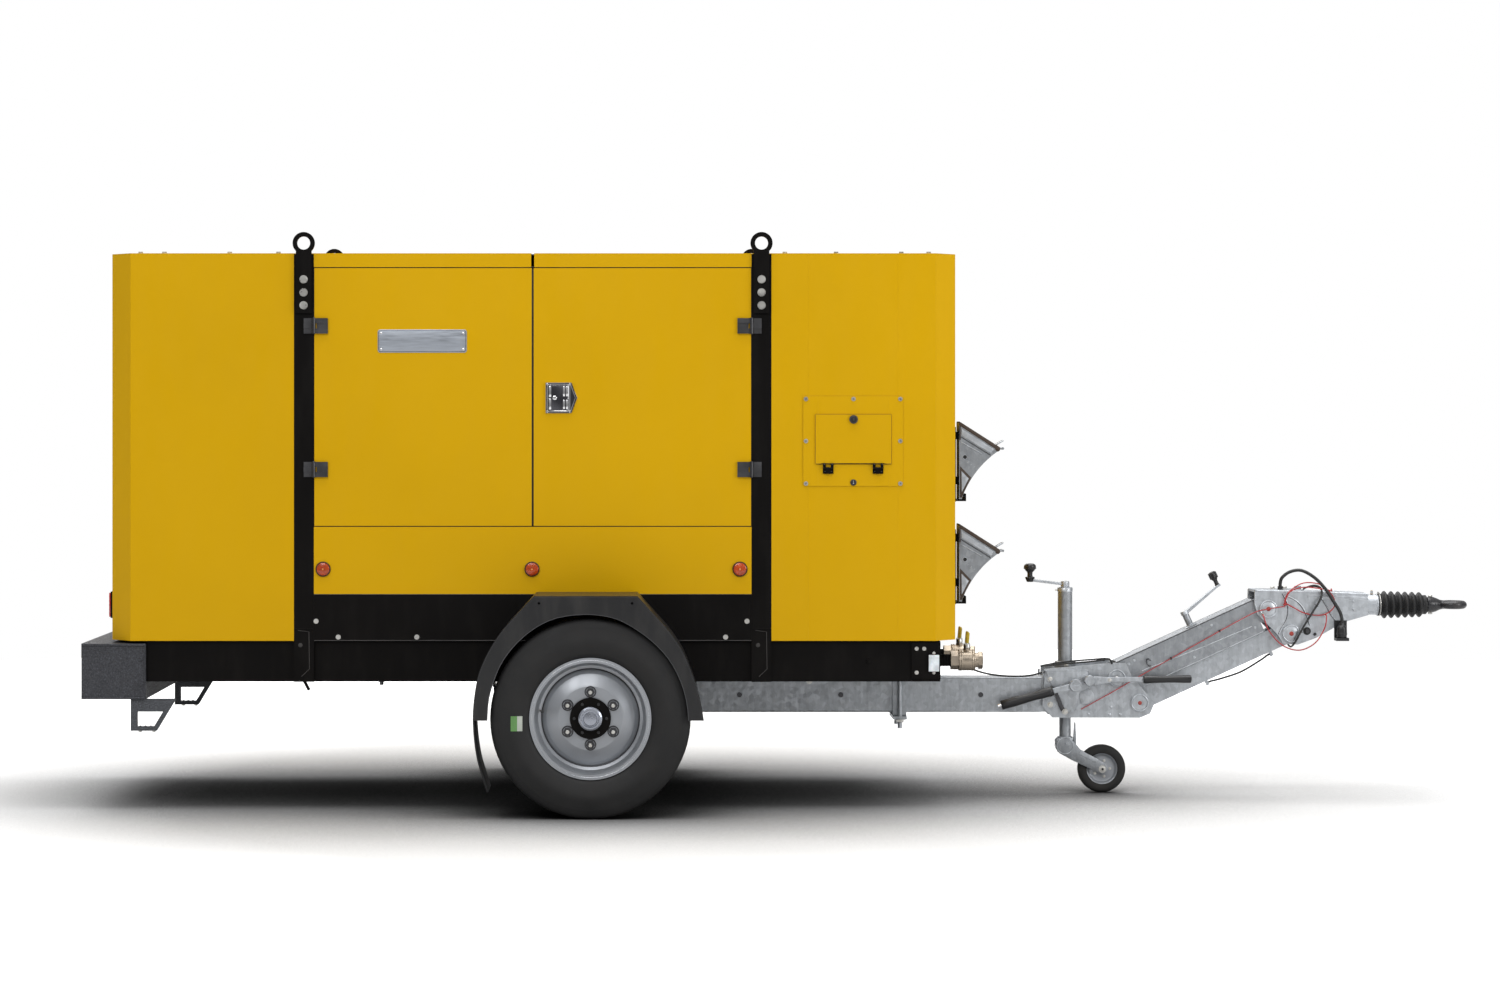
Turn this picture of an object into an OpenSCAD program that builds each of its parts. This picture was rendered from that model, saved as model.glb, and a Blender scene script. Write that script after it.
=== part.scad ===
// Towable diesel generator on a single axle with a height-adjustable drawbar.
// Millimetres. +X points forward to the tow eye, +Z up, origin on the ground at mid-length.
// The right side (the side with the paddle latch and service flap drawn first) is at -Y.

/* [Canopy] */
// Half of the canopy width
canopy_half = 640; // [600:1:640]
// Bottom edge of the canopy above the ground
canopy_z = 672; // [672:1:680]
// Top of the roof above the ground
roof_z = 2212; // [2205:1:2220]
// Rear face of the rear module
canopy_rear = -2720; // [-2740:1:-2700]
// Front face of the front module
canopy_front = 650; // [650:1:660]
// Chamfer of the upright canopy corners
corner_cut = 85; // [60:1:100]
// Thickness of the steel sheet
sheet_t = 3; // [2:0.5:3]
// Middle of the rear post pair
rear_post_x = -1945.5; // [-1946:0.5:-1945]
// Middle of the front post pair
front_post_x = -127.5; // [-128:0.5:-127]
// Width of each upright post
post_w = 79; // [78:1:80]
// Lower edge of the side doors
door_z0 = 1129; // [1120:1:1140]
// Upper edge of the side doors
door_z1 = 2153; // [2145:1:2156]
// Upper edge of the black skirt
skirt_z1 = 857; // [850:1:865]

/* [Chassis] */
// Bottom of the side rails
rail_z0 = 509; // [509:1:515]
// Top of the side rails
rail_z1 = 669; // [660:1:669]
// Outer face of the side rails
rail_y = 620; // [620:1:622]
// Front end of the side rails
rail_front = 585; // [570:1:585]
// Rear face of the bumper box
bumper_rear = -2830; // [-2830:1:-2825]
// Depth of the bumper box
bumper_depth = 255; // [250:1:255]

/* [Running gear] */
// Axle position along the chassis
axle_x = -802; // [-820:1:-790]
// Outer diameter of the road tyres
tyre_od = 780; // [770:1:780]
// Width of the road tyres
tyre_w = 235; // [220:1:235]
// Middle plane of each road wheel
wheel_y = 862.5; // [860:0.5:865]
// Outer face of the mudguards
guard_y = 990; // [985:1:990]

/* [Drawbar] */
// Height of the drawbar links above level
link_angle = 24.55; // [20:0.05:30]
// Length of the drawbar links between pivots
link_len = 690; // [680:1:700]
// Radius of the link pivot pins
pivot_r = 16; // [14:1:16]
// Bore radius of the tow eye
eye_bore_r = 20; // [18:1:22]

/* [Jack] */
// Position of the jack along the drawbar
jack_x = 1158; // [1156:1:1160]
// Outer radius of the jack tube
jack_r = 30; // [30:1:31]
// Radius of the jockey wheel
jockey_r = 100; // [95:1:100]

/* [Hidden] */
$fn = 48;

// Colours
yellow = [0.82, 0.62, 0.02];
black = [0.07, 0.07, 0.07];
rubber = [0.10, 0.10, 0.10];
zinc = [0.62, 0.64, 0.65];
brass = [0.72, 0.58, 0.30];
chrome = [0.85, 0.85, 0.86];

// Small gap between separate plates of one assembly, and running clearance of pins
gap = 0.2;
run = 0.05;
free = 0.4;

// Canopy division
rear_in = rear_post_x - post_w / 2;
rear_out = rear_post_x + post_w / 2;
front_in = front_post_x - post_w / 2;
front_out = front_post_x + post_w / 2;
door_seam = (rear_out + front_in) / 2;
door_gap = 4;
roof_edge = roof_z - sheet_t;

// Door hinges and latch
hinge_r = 7.5;
hinge_pin_r = 4;
hinge_y = canopy_half + 8;
hinge_zs = [[1323, 1383], [1893, 1954]];
hinge_leaf = 40;
latch_x0 = -985;
latch_x1 = -883;
latch_z0 = 1577;
latch_z1 = 1698;

// Service panel and its flap
panel_x0 = 38;
panel_x1 = 435;
panel_z0 = 1287;
panel_z1 = 1645;
flap_x0 = 85;
flap_x1 = 390;
flap_z0 = 1362;
flap_z1 = 1574;
flap_hinges = [137, 335];
flap_axis_y = -652;
flap_axis_z = 1357;

// Road wheels
axle_z = tyre_od / 2;
stub_r = 22;
bead_r = 223;
flange_r = 237;
nut_circle = 102.5;

// Drawbar pivots: rear pair on the drawbar head, front pair on the hitch head
upper_rear = [1362, 481];
lower_rear = [1457, 379];
link_dir = [cos(link_angle), sin(link_angle)];
upper_front = upper_rear + link_len * link_dir;
lower_front = lower_rear + link_len * link_dir;
beam_half = 70;
beam_z0 = 341;
beam_z1 = 482;
beam_front = 1100;
head_plate = 12;
shaft_z = 781;
shaft_r = 25;

// Jack and jockey wheel
jockey_x = 1309;
jockey_w = 50;
inner_r = 24;
jack_top = 853;

// ---- Shared shapes ----

// Rectangular block between two corners
module block(x, y, z) {
    translate([x[0], y[0], z[0]]) cube([x[1] - x[0], y[1] - y[0], z[1] - z[0]]);
}

// Closed hollow box between two corners
module hollow(x, y, z, t) {
    difference() {
        block(x, y, z);
        block(x + [t, -t], y + [t, -t], z + [t, -t]);
    }
}

// Its children and their mirror image on the other side
module both_sides() {
    children();
    mirror([0, 1, 0]) children();
}

// Round bar along X, Y or Z
module bar_x(r, x, y, z) { translate([x[0], y, z]) rotate([0, 90, 0]) cylinder(r = r, h = x[1] - x[0]); }
module bar_y(r, x, y, z) { translate([x, y[0], z]) rotate([-90, 0, 0]) cylinder(r = r, h = y[1] - y[0]); }
module bar_z(r, x, y, z) { translate([x, y, z[0]]) cylinder(r = r, h = z[1] - z[0]); }

// Side outline in X and Z given a thickness along Y
module side_plate(y) { translate([0, y[1], 0]) rotate([90, 0, 0]) linear_extrude(y[1] - y[0]) children(); }

// Hexagon head with its washer, seen from outside the near side
module bolt_y(x, z, y, r, h) {
    translate([x, y, z]) rotate([90, 0, 0]) cylinder(r = r * 1.25, h = h * 0.25);
    translate([x, y - h * 0.25, z]) rotate([90, 0, 0]) cylinder(r = r, h = h * 0.75, $fn = 6);
}

// Closed tube swept along route points; the section turns with the route
function unit(v) = v / norm(v);
function way(p, i) = unit(p[min(i + 1, len(p) - 1)] - p[max(i - 1, 0)]);
function across(t) = abs(t[2]) > 0.9 ? unit(cross(t, [0, 1, 0])) : unit(cross(t, [0, 0, 1]));
function carried(t, last) = unit(last - t * (last * t));
function frames(p, i = 0, last = [0, 0, 0]) =
    i == len(p) ? [] :
    let (n = i == 0 ? across(way(p, 0)) : carried(way(p, i), last))
    concat([n], frames(p, i + 1, n));
function spline(a, b, c, d, t) =
    0.5 * (2 * b + (c - a) * t + (2 * a - 5 * b + 4 * c - d) * t * t + (3 * b - a - 3 * c + d) * t * t * t);
function smooth(p, n) = concat([for (i = [0 : len(p) - 2], k = [0 : n - 1])
    spline(p[max(i - 1, 0)], p[i], p[i + 1], p[min(i + 2, len(p) - 1)], k / n)], [p[len(p) - 1]]);

module cord_tube(route, r, steps) {
    sides = 8;
    p = smooth(route, steps);
    n = frames(p);
    rings = [for (i = [0 : len(p) - 1], k = [0 : sides - 1])
        p[i] + r * (cos(k * 360 / sides) * n[i] + sin(k * 360 / sides) * cross(way(p, i), n[i]))];
    walls = [for (i = [0 : len(p) - 2], k = [0 : sides - 1])
        let (a = i * sides + k, b = i * sides + (k + 1) % sides) [a, a + sides, b + sides, b]];
    start = [for (k = [0 : sides - 1]) k];
    finish = [for (k = [0 : sides - 1]) len(p) * sides - 1 - k];
    polyhedron(points = rings, faces = concat([start], walls, [finish]), convexity = 8);
}

// ---- Chassis ----

rail_rear = bumper_rear + bumper_depth;
rail_in = rail_y - 60;
floor_t = 4;
rail_t = 6;
cross_xs = [-2520, -1750, -1120, -480, 60, 525];

module frame_rails() {
    color(black) {
        both_sides() hollow([rail_rear, rail_front], [rail_in, rail_y], [rail_z0, rail_z1], rail_t);
        for (x = cross_xs)
            hollow([x, x + 60], [gap - rail_in, rail_in - gap], [rail_z0, rail_z1 - floor_t], rail_t);
        // Floor plates lie on the cross members between the rails
        for (i = [0 : len(cross_xs) - 2])
            block([cross_xs[i] + gap, cross_xs[i + 1] - gap], [gap - rail_in, rail_in - gap],
                [rail_z1 - floor_t, rail_z1]);
        // Front corner plates that carry the position lamps
        both_sides() block([470, rail_front], [rail_y + gap, rail_y + 8], [520, 665]);
        // Cable gland on the front cross member
        bar_x(11, [rail_front + gap, gland_x], -40, 560);
        // Saddles between the cross members and the drawbar beam
        for (x = [-480, 60]) block([x, x + 60], [-beam_half, beam_half], [beam_z1 + gap, rail_z0 - gap]);
    }
}

bumper_y = 640;
bumper_z0 = 440;
bumper_z1 = 661;
step_out = [[-2635, 314], [-2533, 314], [-2457, 440 - 0.2], [-2635, 440 - 0.2]];
step_in = [[-2611, 330], [-2543, 330], [-2507, 390], [-2611, 390]];

module rear_bumper() {
    color([0.20, 0.20, 0.22]) {
        hollow([bumper_rear, rail_rear], [-bumper_y, bumper_y], [bumper_z0, bumper_z1], sheet_t);
        // Steps below the bumper and the rails
        both_sides() side_plate([600, bumper_y - 8]) difference() {
            polygon(step_out);
            polygon(step_in);
        }
    }
}

arm_t = 30;
arm_y = 645;
tube_x = -620;
tube_half = 50;

module axle_beam() {
    color(black) {
        // Torsion tube under the rails
        block([tube_x - tube_half, tube_x + tube_half], [gap - arm_y, arm_y - gap],
            [rail_z0 - 2 * tube_half - gap, rail_z0 - gap]);
        both_sides() {
            // Trailing arm from the torsion tube back to the wheel
            side_plate([arm_y, arm_y + arm_t]) polygon([
                [tube_x + 45, 415], [tube_x + 45, 500], [tube_x - 45, 505],
                [axle_x - 45, axle_z + 40], [axle_x - 45, axle_z - 40], [axle_x + 30, axle_z - 45]
            ]);
            // Brake back plate and stub axle
            bar_y(118, axle_x, [arm_y + arm_t + gap, arm_y + arm_t + 30], axle_z);
            bar_y(stub_r, axle_x, [arm_y + arm_t + 30 + gap, wheel_y + 60], axle_z);
        }
    }
}

clamp_x = 463;
beam_rear = tube_x + tube_half + gap;

module drawbar_beam() {
    color(zinc) {
        difference() {
            block([beam_rear, beam_front], [-beam_half, beam_half], [beam_z0, beam_z1]);
            block([beam_rear - 1, beam_front + 1], [6 - beam_half, beam_half - 6], [beam_z0 + 6, beam_z1 - 6]);
        }
        // Clamp that holds the beam to the front cross member
        both_sides() block([clamp_x - 28, clamp_x + 28], [beam_half + gap, beam_half + 12], [326, 505]);
        block([clamp_x - 28, clamp_x + 28], [-beam_half - 40, beam_half + 40], [313, 325]);
        block([clamp_x - 28, clamp_x + 64], [-beam_half - 40, beam_half + 40],
            [beam_z1 + 14, rail_z0 - gap]);
        both_sides() bar_z(9, clamp_x, beam_half + 27, [276, 494]);
    }
}

// ---- Running gear ----

guard_in = 664;
guard_t = 4;
guard_half = [455, 376, 198];
guard_h = [-4, 309, 480];
guard_outline = [
    [-guard_half[0], guard_h[0]], [-guard_half[1], guard_h[1]], [-guard_half[2], guard_h[2]],
    [guard_half[2], guard_h[2]], [guard_half[1], guard_h[1]], [guard_half[0], guard_h[0]]
];
arch_r = 420;

module guard() {
    translate([axle_x, 0, axle_z]) {
        // Cover wrapped over the wheel, one flat solid per facet
        for (i = [0 : len(guard_outline) - 2]) {
            along = unit(guard_outline[i + 1] - guard_outline[i]);
            a = guard_outline[i] + along * gap;
            b = guard_outline[i + 1] - along * gap;
            mitre = along * guard_t / 2;
            n = [along[1], -along[0]] * guard_t;
            side_plate([guard_in, guard_y - guard_t - gap]) polygon([a, b, b + n - mitre, a + n + mitre]);
        }
        // Outer face in sectors round the arch
        for (i = [0 : len(guard_outline) - 2]) {
            step = unit(guard_outline[i + 1] - guard_outline[i]) * gap;
            side_plate([guard_y - guard_t, guard_y]) difference() {
                polygon([[0, 0], guard_outline[i] + step, guard_outline[i + 1] - step]);
                circle(r = arch_r, $fn = 96);
            }
        }
        // Brackets to the side rail
        for (x = [-416, 404]) block([x, x + 12], [rail_y + gap, guard_in - gap], [150, 200]);
    }
}

module mudguards() {
    color(black) both_sides() guard();
}

flap_route = [[-1257, 384], [-1254, 330], [-1247, 270], [-1236, 215], [-1219, 160], [-1203, 108]];
flap_t = 10;

module mud_flaps() {
    color(rubber) both_sides()
        for (i = [0 : len(flap_route) - 2])
            side_plate([wheel_y - tyre_w / 2, wheel_y + tyre_w / 2]) polygon([
                flap_route[i], flap_route[i + 1],
                flap_route[i + 1] + [flap_t, 0], flap_route[i] + [flap_t, 0]
            ]);
}

// Tyre section: radius and distance from the wheel's middle plane
tyre_half = tyre_w / 2;
tread_half = tyre_half - 17.5;
tread_r = tyre_od / 2;

module tyre() {
    rotate_extrude($fn = 128) polygon([
        [bead_r, -83], [236, -91], [262, -108], [300, -tyre_half], [338, -tyre_half + 4],
        [372, -tread_half - 6], [tread_r - 6, -tread_half], [tread_r, -tread_half + 18],
        [tread_r, tread_half - 18], [tread_r - 6, tread_half], [372, tread_half + 6],
        [338, tyre_half - 4], [300, tyre_half], [262, 108], [236, 91], [bead_r, 83],
        [bead_r, 70], [252, 78], [290, 96], [340, 94], [tread_r - 16, 74],
        [tread_r - 16, -74], [340, -94], [290, -96], [252, -78], [bead_r, -70]
    ]);
}

// Rim with its outside face towards +Z of its own frame
module rim() {
    rotate_extrude($fn = 96) polygon([
        [flange_r, 92], [flange_r, 97], [218, 97], [214, 70], [204, 40], [188, 34], [172, 46], [130, 64],
        [124, 66], [60, 66], [60, 56], [118, 56], [168, 38], [186, 26], [206, 28], [206, -64],
        [216, -97], [flange_r, -97], [flange_r, -92], [bead_r - gap, -84], [bead_r - gap, 84]
    ]);
    // Hub with a blind running bore for the stub axle
    difference() {
        union() {
            translate([0, 0, -92]) cylinder(r = 96, h = 20);
            translate([0, 0, -72]) cylinder(r = 62, h = 150);
            translate([0, 0, 66]) cylinder(r = 80, h = 12);
            translate([0, 0, 78]) cylinder(r = 46, h = 14);
        }
        translate([0, 0, -93]) cylinder(r = stub_r + run, h = 155);
    }
    // Wheel nuts
    for (k = [0 : 5])
        rotate([0, 0, 60 * k]) translate([0, -nut_circle, 66]) cylinder(r = 17, h = 24, $fn = 6);
}

module right_wheel_place() { translate([axle_x, -wheel_y, axle_z]) rotate([90, 0, 0]) children(); }
module left_wheel_place() { translate([axle_x, wheel_y, axle_z]) rotate([-90, 0, 0]) children(); }
module rim_right() { color(zinc) right_wheel_place() rim(); }
module tyre_right() { color(rubber) right_wheel_place() tyre(); }
module rim_left() { color(zinc) left_wheel_place() rim(); }
module tyre_left() { color(rubber) left_wheel_place() tyre(); }

// ---- Canopy ----

post_in = canopy_half - 80;
post_t = 4;
foot_z1 = 719;
lintel_h = 80;
post_pairs = [[rear_in, rear_out], [front_in, front_out]];

// Outside hinge: the fixed leaf, its middle knuckle and the pin; dir points from post to door
module hinge_fixed(x, z, dir) {
    third = (z[1] - z[0]) / 3;
    clear = hinge_r + 1;
    block(dir > 0 ? [x - hinge_leaf, x - clear] : [x + clear, x + hinge_leaf],
        [-canopy_half - 4, -canopy_half], z);
    block(dir > 0 ? [x - hinge_leaf, x] : [x, x + hinge_leaf],
        [-hinge_y - 2, -hinge_y + 4], [z[0] + third + free, z[1] - third - free]);
    bar_z(hinge_r, x, -hinge_y, [z[0] + third + free, z[1] - third - free]);
    bar_z(hinge_pin_r, x, -hinge_y, [z[0], z[1]]);
}

// Door leaf with the two outer knuckles
module hinge_moving(x, z, dir) {
    third = (z[1] - z[0]) / 3;
    for (zz = [[z[0], z[0] + third], [z[1] - third, z[1]]]) difference() {
        union() {
            bar_z(hinge_r, x, -hinge_y, zz);
            block(dir > 0 ? [x, x + hinge_leaf + 16] : [x - hinge_leaf - 16, x],
                [-hinge_y - 2, -hinge_y + 4], zz);
        }
        bar_z(hinge_pin_r + run, x, -hinge_y, [zz[0] - 1, zz[1] + 1]);
    }
    block(dir > 0 ? [x + 12, x + hinge_leaf + 16] : [x - hinge_leaf - 16, x - 12],
        [-canopy_half - 6, -canopy_half], z);
}

module posts() {
    color(black) {
        for (p = post_pairs) {
            both_sides() {
                hollow(p, [post_in, canopy_half], [rail_z1 + gap, roof_edge - gap], post_t);
                block(p, [rail_y + gap, canopy_half], [rail_z0, foot_z1]);
            }
            // Lintel between the two posts under the roof
            hollow(p, [gap - post_in, post_in - gap], [roof_edge - lintel_h, roof_edge - gap], post_t);
        }
        both_sides() for (z = hinge_zs) {
            hinge_fixed(rear_out, z, 1);
            hinge_fixed(front_in, z, -1);
        }
    }
}

lug_z = 2252;
lug_r = 44;
lug_hole = 26;
lug_w = 62;
lug_t = 12;
lug_foot_z = 1974;

module lifting_lugs() {
    color(black) both_sides() for (x = [rear_post_x, front_post_x])
        translate([x, 0, 0]) side_plate([canopy_half, canopy_half + lug_t]) difference() {
            union() {
                translate([-lug_w / 2, lug_foot_z]) square([lug_w, lug_z - lug_foot_z]);
                translate([0, lug_z]) circle(r = lug_r);
            }
            translate([0, lug_z]) circle(r = lug_hole);
        }
}

lug_bolts = [2005, 2056, 2108];
skirt_screws = [[-1897, 750], [-1809, 687], [-1497, 687], [-185, 750], [-270, 687]];
roof_bolt_y = -canopy_half + 40;
roof_screws = [-2600, -2505, -2245, -2051, -33, 171, 431, 540];
panel_screw_xs = [49, 238, 424];
panel_screw_zs = [1297, 1466, 1633];

module fasteners() {
    color(zinc) {
        both_sides() {
            for (x = [rear_post_x, front_post_x], z = lug_bolts)
                bolt_y(x, z, -canopy_half - lug_t, 13, 12);
            for (s = skirt_screws) bolt_y(s[0], s[1], -canopy_half, 8, 5);
            for (x = roof_screws) translate([x, roof_bolt_y, roof_z]) rotate([-90, 0, 0]) bolt_y(0, 0, 0, 9, 8);
        }
        for (x = panel_screw_xs, z = panel_screw_zs)
            if (x != panel_screw_xs[1] || z == panel_screw_zs[2])
                bolt_y(x, z, -canopy_half - sheet_t, 7, 4);
    }
}

// Folded skin of a module: sides, cut corners and end wall as flat sheets, open towards x_in
module module_skin(x_in, x_end, side_hole) {
    dir = sign(x_end - x_in);
    cut = x_end - dir * corner_cut;
    x_side = [min(x_in + dir * gap, cut), max(x_in + dir * gap, cut)];
    y_in = canopy_half - sheet_t;
    z = [canopy_z, roof_edge - gap];
    block(x_side, [y_in, canopy_half], z);
    if (len(side_hole) == 0) block(x_side, [-canopy_half, -y_in], z);
    else {
        h = side_hole;
        block([x_side[0], h[0]], [-canopy_half, -y_in], z);
        block([h[1], x_side[1]], [-canopy_half, -y_in], z);
        block([h[0] + gap, h[1] - gap], [-canopy_half, -y_in], [z[0], h[2]]);
        block([h[0] + gap, h[1] - gap], [-canopy_half, -y_in], [h[3], z[1]]);
    }
    both_sides() translate([0, 0, z[0]]) linear_extrude(z[1] - z[0]) polygon([
        [cut + dir * gap, canopy_half], [x_end, canopy_half - corner_cut + gap],
        [x_end - dir * sheet_t, canopy_half - corner_cut + gap], [cut + dir * gap, y_in]
    ]);
    block([min(x_end, x_end - dir * sheet_t), max(x_end, x_end - dir * sheet_t)],
        [-canopy_half + corner_cut, canopy_half - corner_cut], z);
    translate([0, 0, roof_edge]) linear_extrude(sheet_t) polygon([
        [x_in + dir * gap, -canopy_half], [cut, -canopy_half], [x_end, -canopy_half + corner_cut],
        [x_end, canopy_half - corner_cut], [cut, canopy_half], [x_in + dir * gap, canopy_half]
    ]);
}

// Louvred grille on an end wall, with a frame and sloping slats
module end_grille(x, dir, z0, z1, half) {
    for (y = [-half, half - 20]) block([min(x, x + dir * 14), max(x, x + dir * 14)], [y, y + 20], [z0, z1]);
    for (z = [z0, z1 - 20])
        block([min(x, x + dir * 14), max(x, x + dir * 14)], [20.2 - half, half - 20.2], [z, z + 20]);
    pitch = 40;
    for (k = [0 : floor((z1 - z0 - 60) / pitch) - 1])
        translate([0, half - 20.2, 0]) rotate([90, 0, 0]) linear_extrude(2 * half - 40.4)
            translate([x, z0 + 26 + k * pitch]) polygon([[0, 0], [0, 30], [dir * 12, 4], [dir * 12, 0]]);
}

module rear_canopy() {
    color(yellow) {
        module_skin(rear_in, canopy_rear, []);
        end_grille(canopy_rear, -1, 1000, 1900, 460);
    }
}

module front_canopy() {
    color(yellow) {
        module_skin(front_out, canopy_front, [panel_x0 + 20, panel_x1 - 20, panel_z0 + 20, panel_z1 - 20]);
        end_grille(canopy_front, 1, 1640, 2080, 400);
    }
}

module roof_panels() {
    y_in = canopy_half - sheet_t;
    color(yellow) for (x = [[rear_in + gap, door_seam - 6], [door_seam + 6, front_out - gap]]) {
        block(x, [-canopy_half, canopy_half], [roof_edge, roof_z]);
        x_edge = [max(x[0], rear_out + gap), min(x[1], front_in - gap)];
        both_sides() block(x_edge, [y_in, canopy_half], [door_z1 + door_gap, roof_edge - gap]);
    }
}

module lower_panels() {
    color(yellow) both_sides()
        block([rear_out + gap, front_in - gap], [canopy_half - sheet_t, canopy_half],
            [skirt_z1 + gap, door_z0 - door_gap]);
}

module skirt_panels() {
    color(black) both_sides()
        block([rear_out + gap, front_in - gap], [canopy_half - sheet_t, canopy_half],
            [canopy_z, skirt_z1]);
}

// ---- Doors ----

door_pan = 24;

// Door pan with folded edges; dir points from its hinge to its free edge, drawn on the near side
module door(x_hinge, dir, with_latch) {
    x_free = door_seam - dir * door_gap;
    x0 = x_hinge + dir * 2;
    x = [min(x0, x_free), max(x0, x_free)];
    z = [door_z0, door_z1];
    y = -canopy_half;
    block(x, [y, y + sheet_t], z);
    for (xx = [[x[0], x[0] + sheet_t], [x[1] - sheet_t, x[1]]]) block(xx, [y, y + door_pan], z);
    for (zz = [[z[0], z[0] + sheet_t], [z[1] - sheet_t, z[1]]]) block(x, [y, y + door_pan], zz);
    for (h = hinge_zs) hinge_moving(x_hinge, h, dir);
    if (with_latch) difference() {
        // Raised dish round the paddle, with a pointed front end
        side_plate([y - 6, y]) polygon([
            [latch_x0, latch_z0], [latch_x1, latch_z0], [latch_x1 + 24, (latch_z0 + latch_z1) / 2],
            [latch_x1, latch_z1], [latch_x0, latch_z1]
        ]);
        block([latch_x0 + 9, latch_x1 - 9], [y - 7, y - 2], [latch_z0 + 9, latch_z1 - 9]);
    }
}

module door_right_rear() { color(yellow) door(rear_out, 1, false); }
module door_right_front() { color(yellow) door(front_in, -1, true); }
module door_left_rear() { color(yellow) mirror([0, 1, 0]) door(rear_out, 1, false); }
module door_left_front() { color(yellow) mirror([0, 1, 0]) door(front_in, -1, true); }

paddle_x = latch_x1 - 13;
paddle_y = -canopy_half - 5.2;
paddle_r = 2.8;

// Latch paddle lying in its dish, hinged on its round front edge
module paddle() {
    difference() {
        union() {
            block([latch_x0 + 12, paddle_x], [paddle_y - paddle_r, paddle_y + paddle_r],
                [latch_z0 + 12, latch_z1 - 12]);
            bar_z(paddle_r, paddle_x, paddle_y, [latch_z0 + 12, latch_z1 - 12]);
        }
        for (z = [latch_z0 + 30, latch_z1 - 44])
            block([latch_x0 + 22, latch_x0 + 46], [paddle_y - paddle_r - 1, paddle_y], [z, z + 14]);
    }
}

module latch_right() { color(chrome) paddle(); }
module latch_left() { color(chrome) mirror([0, 1, 0]) paddle(); }

// ---- Service panel ----

module service_panel() {
    y = -canopy_half;
    deep = 60;
    color(yellow) {
        // Cover plate in four strips round the flap opening
        block([panel_x0, flap_x0 + 12 - gap], [y - sheet_t, y], [panel_z0, panel_z1]);
        block([flap_x1 - 12 + gap, panel_x1], [y - sheet_t, y], [panel_z0, panel_z1]);
        block([flap_x0 + 12, flap_x1 - 12], [y - sheet_t, y], [panel_z0, flap_z0 + 12]);
        block([flap_x0 + 12, flap_x1 - 12], [y - sheet_t, y], [flap_z1 - 12, panel_z1]);
        // Fixed hinge leaves
        for (x = flap_hinges) {
            block([x - 21, x + 21], [y - 7, y - sheet_t], [flap_axis_z - 21, flap_axis_z - 3]);
            block([x - 10 + free, x + 10 - free], [flap_axis_y - 3, y - 7], [flap_axis_z - 21, flap_axis_z - 10]);
            block([x - 10 + free, x + 10 - free], [flap_axis_y - 3, flap_axis_y + 3],
                [flap_axis_z - 21, flap_axis_z]);
            bar_x(5, [x - 10 + free, x + 10 - free], flap_axis_y, flap_axis_z);
            bar_x(2.5, [x - 21, x + 21], flap_axis_y, flap_axis_z);
        }
    }
    // Socket recess behind the flap
    color(black) {
        x = [panel_x0 + 24, panel_x1 - 24];
        z = [panel_z0 + 24, panel_z1 - 24];
        block(x, [y + deep, y + deep + sheet_t], z);
        for (xx = [[x[0], x[0] + sheet_t], [x[1] - sheet_t, x[1]]])
            block(xx, [y + 4, y + deep - gap], z);
        for (zz = [[z[0], z[0] + sheet_t], [z[1] - sheet_t, z[1]]])
            block([x[0] + sheet_t + gap, x[1] - sheet_t - gap], [y + 4, y + deep - gap], zz);
        // Power sockets
        for (sx = [150, 237, 324]) bar_y(28, sx, [y + deep - 22, y + deep - gap], 1420);
        for (sx = [130, 200, 270, 340]) block([sx, sx + 18], [y + deep - 16, y + deep - gap], [1500, 1560]);
    }
}

module service_flap() {
    y = -canopy_half - sheet_t - free;
    color(yellow) {
        block([flap_x0, flap_x1], [y - sheet_t, y], [flap_z0 + 12, flap_z1]);
        for (x = flap_hinges, s = [-1, 1]) difference() {
            union() {
                xx = s < 0 ? [x - 21, x - 10] : [x + 10, x + 21];
                block(xx, [flap_axis_y - 3, y - sheet_t], [flap_axis_z + 7, flap_axis_z + 21]);
                block(xx, [flap_axis_y - 3, flap_axis_y + 3], [flap_axis_z, flap_axis_z + 21]);
                bar_x(5, xx, flap_axis_y, flap_axis_z);
            }
            bar_x(2.5 + run, [x - 22, x + 22], flap_axis_y, flap_axis_z);
        }
        // Quarter-turn lock
        bar_y(17, 238, [y - sheet_t - 7, y - sheet_t], 1552);
    }
}

// ---- Lamps, chocks and valves ----

marker_xs = [-1869, -1039, -213];
marker_z = 957;

module lamps() {
    color([0.80, 0.35, 0.05]) both_sides()
        for (x = marker_xs) bar_y(30, x, [canopy_half, canopy_half + 12], marker_z);
    color("white") both_sides() block([535, 581], [rail_y + 8 + gap, rail_y + 22], [548, 618]);
    color("red") both_sides() block([canopy_rear - 15, canopy_rear], [380, 540], [760, 860]);
}

chock_back = 670;
chock_zs = [821, 1232];
chock_y = [-510, -390];
chock_outline = [[chock_back, 0], [700, 0], [830, 200], [chock_back, 305]];
chock_arc = [1048, -128];
chock_t = 4;

module chock_holders() {
    color(black) for (z = chock_zs) {
        block([canopy_front, canopy_front + 6], [chock_y[0] - 12, chock_y[1] + 12], [z - 10, z + 290]);
        for (zz = [z + 60, z + 240])
            block([canopy_front + 6, chock_back - free], [chock_y[0] + 20, chock_y[1] - 20], [zz, zz + 30]);
        block([canopy_front + 6, 698], chock_y, [z - 8, z - free]);
        block([692, 698], chock_y, [z - free, z + 22]);
    }
}

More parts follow.
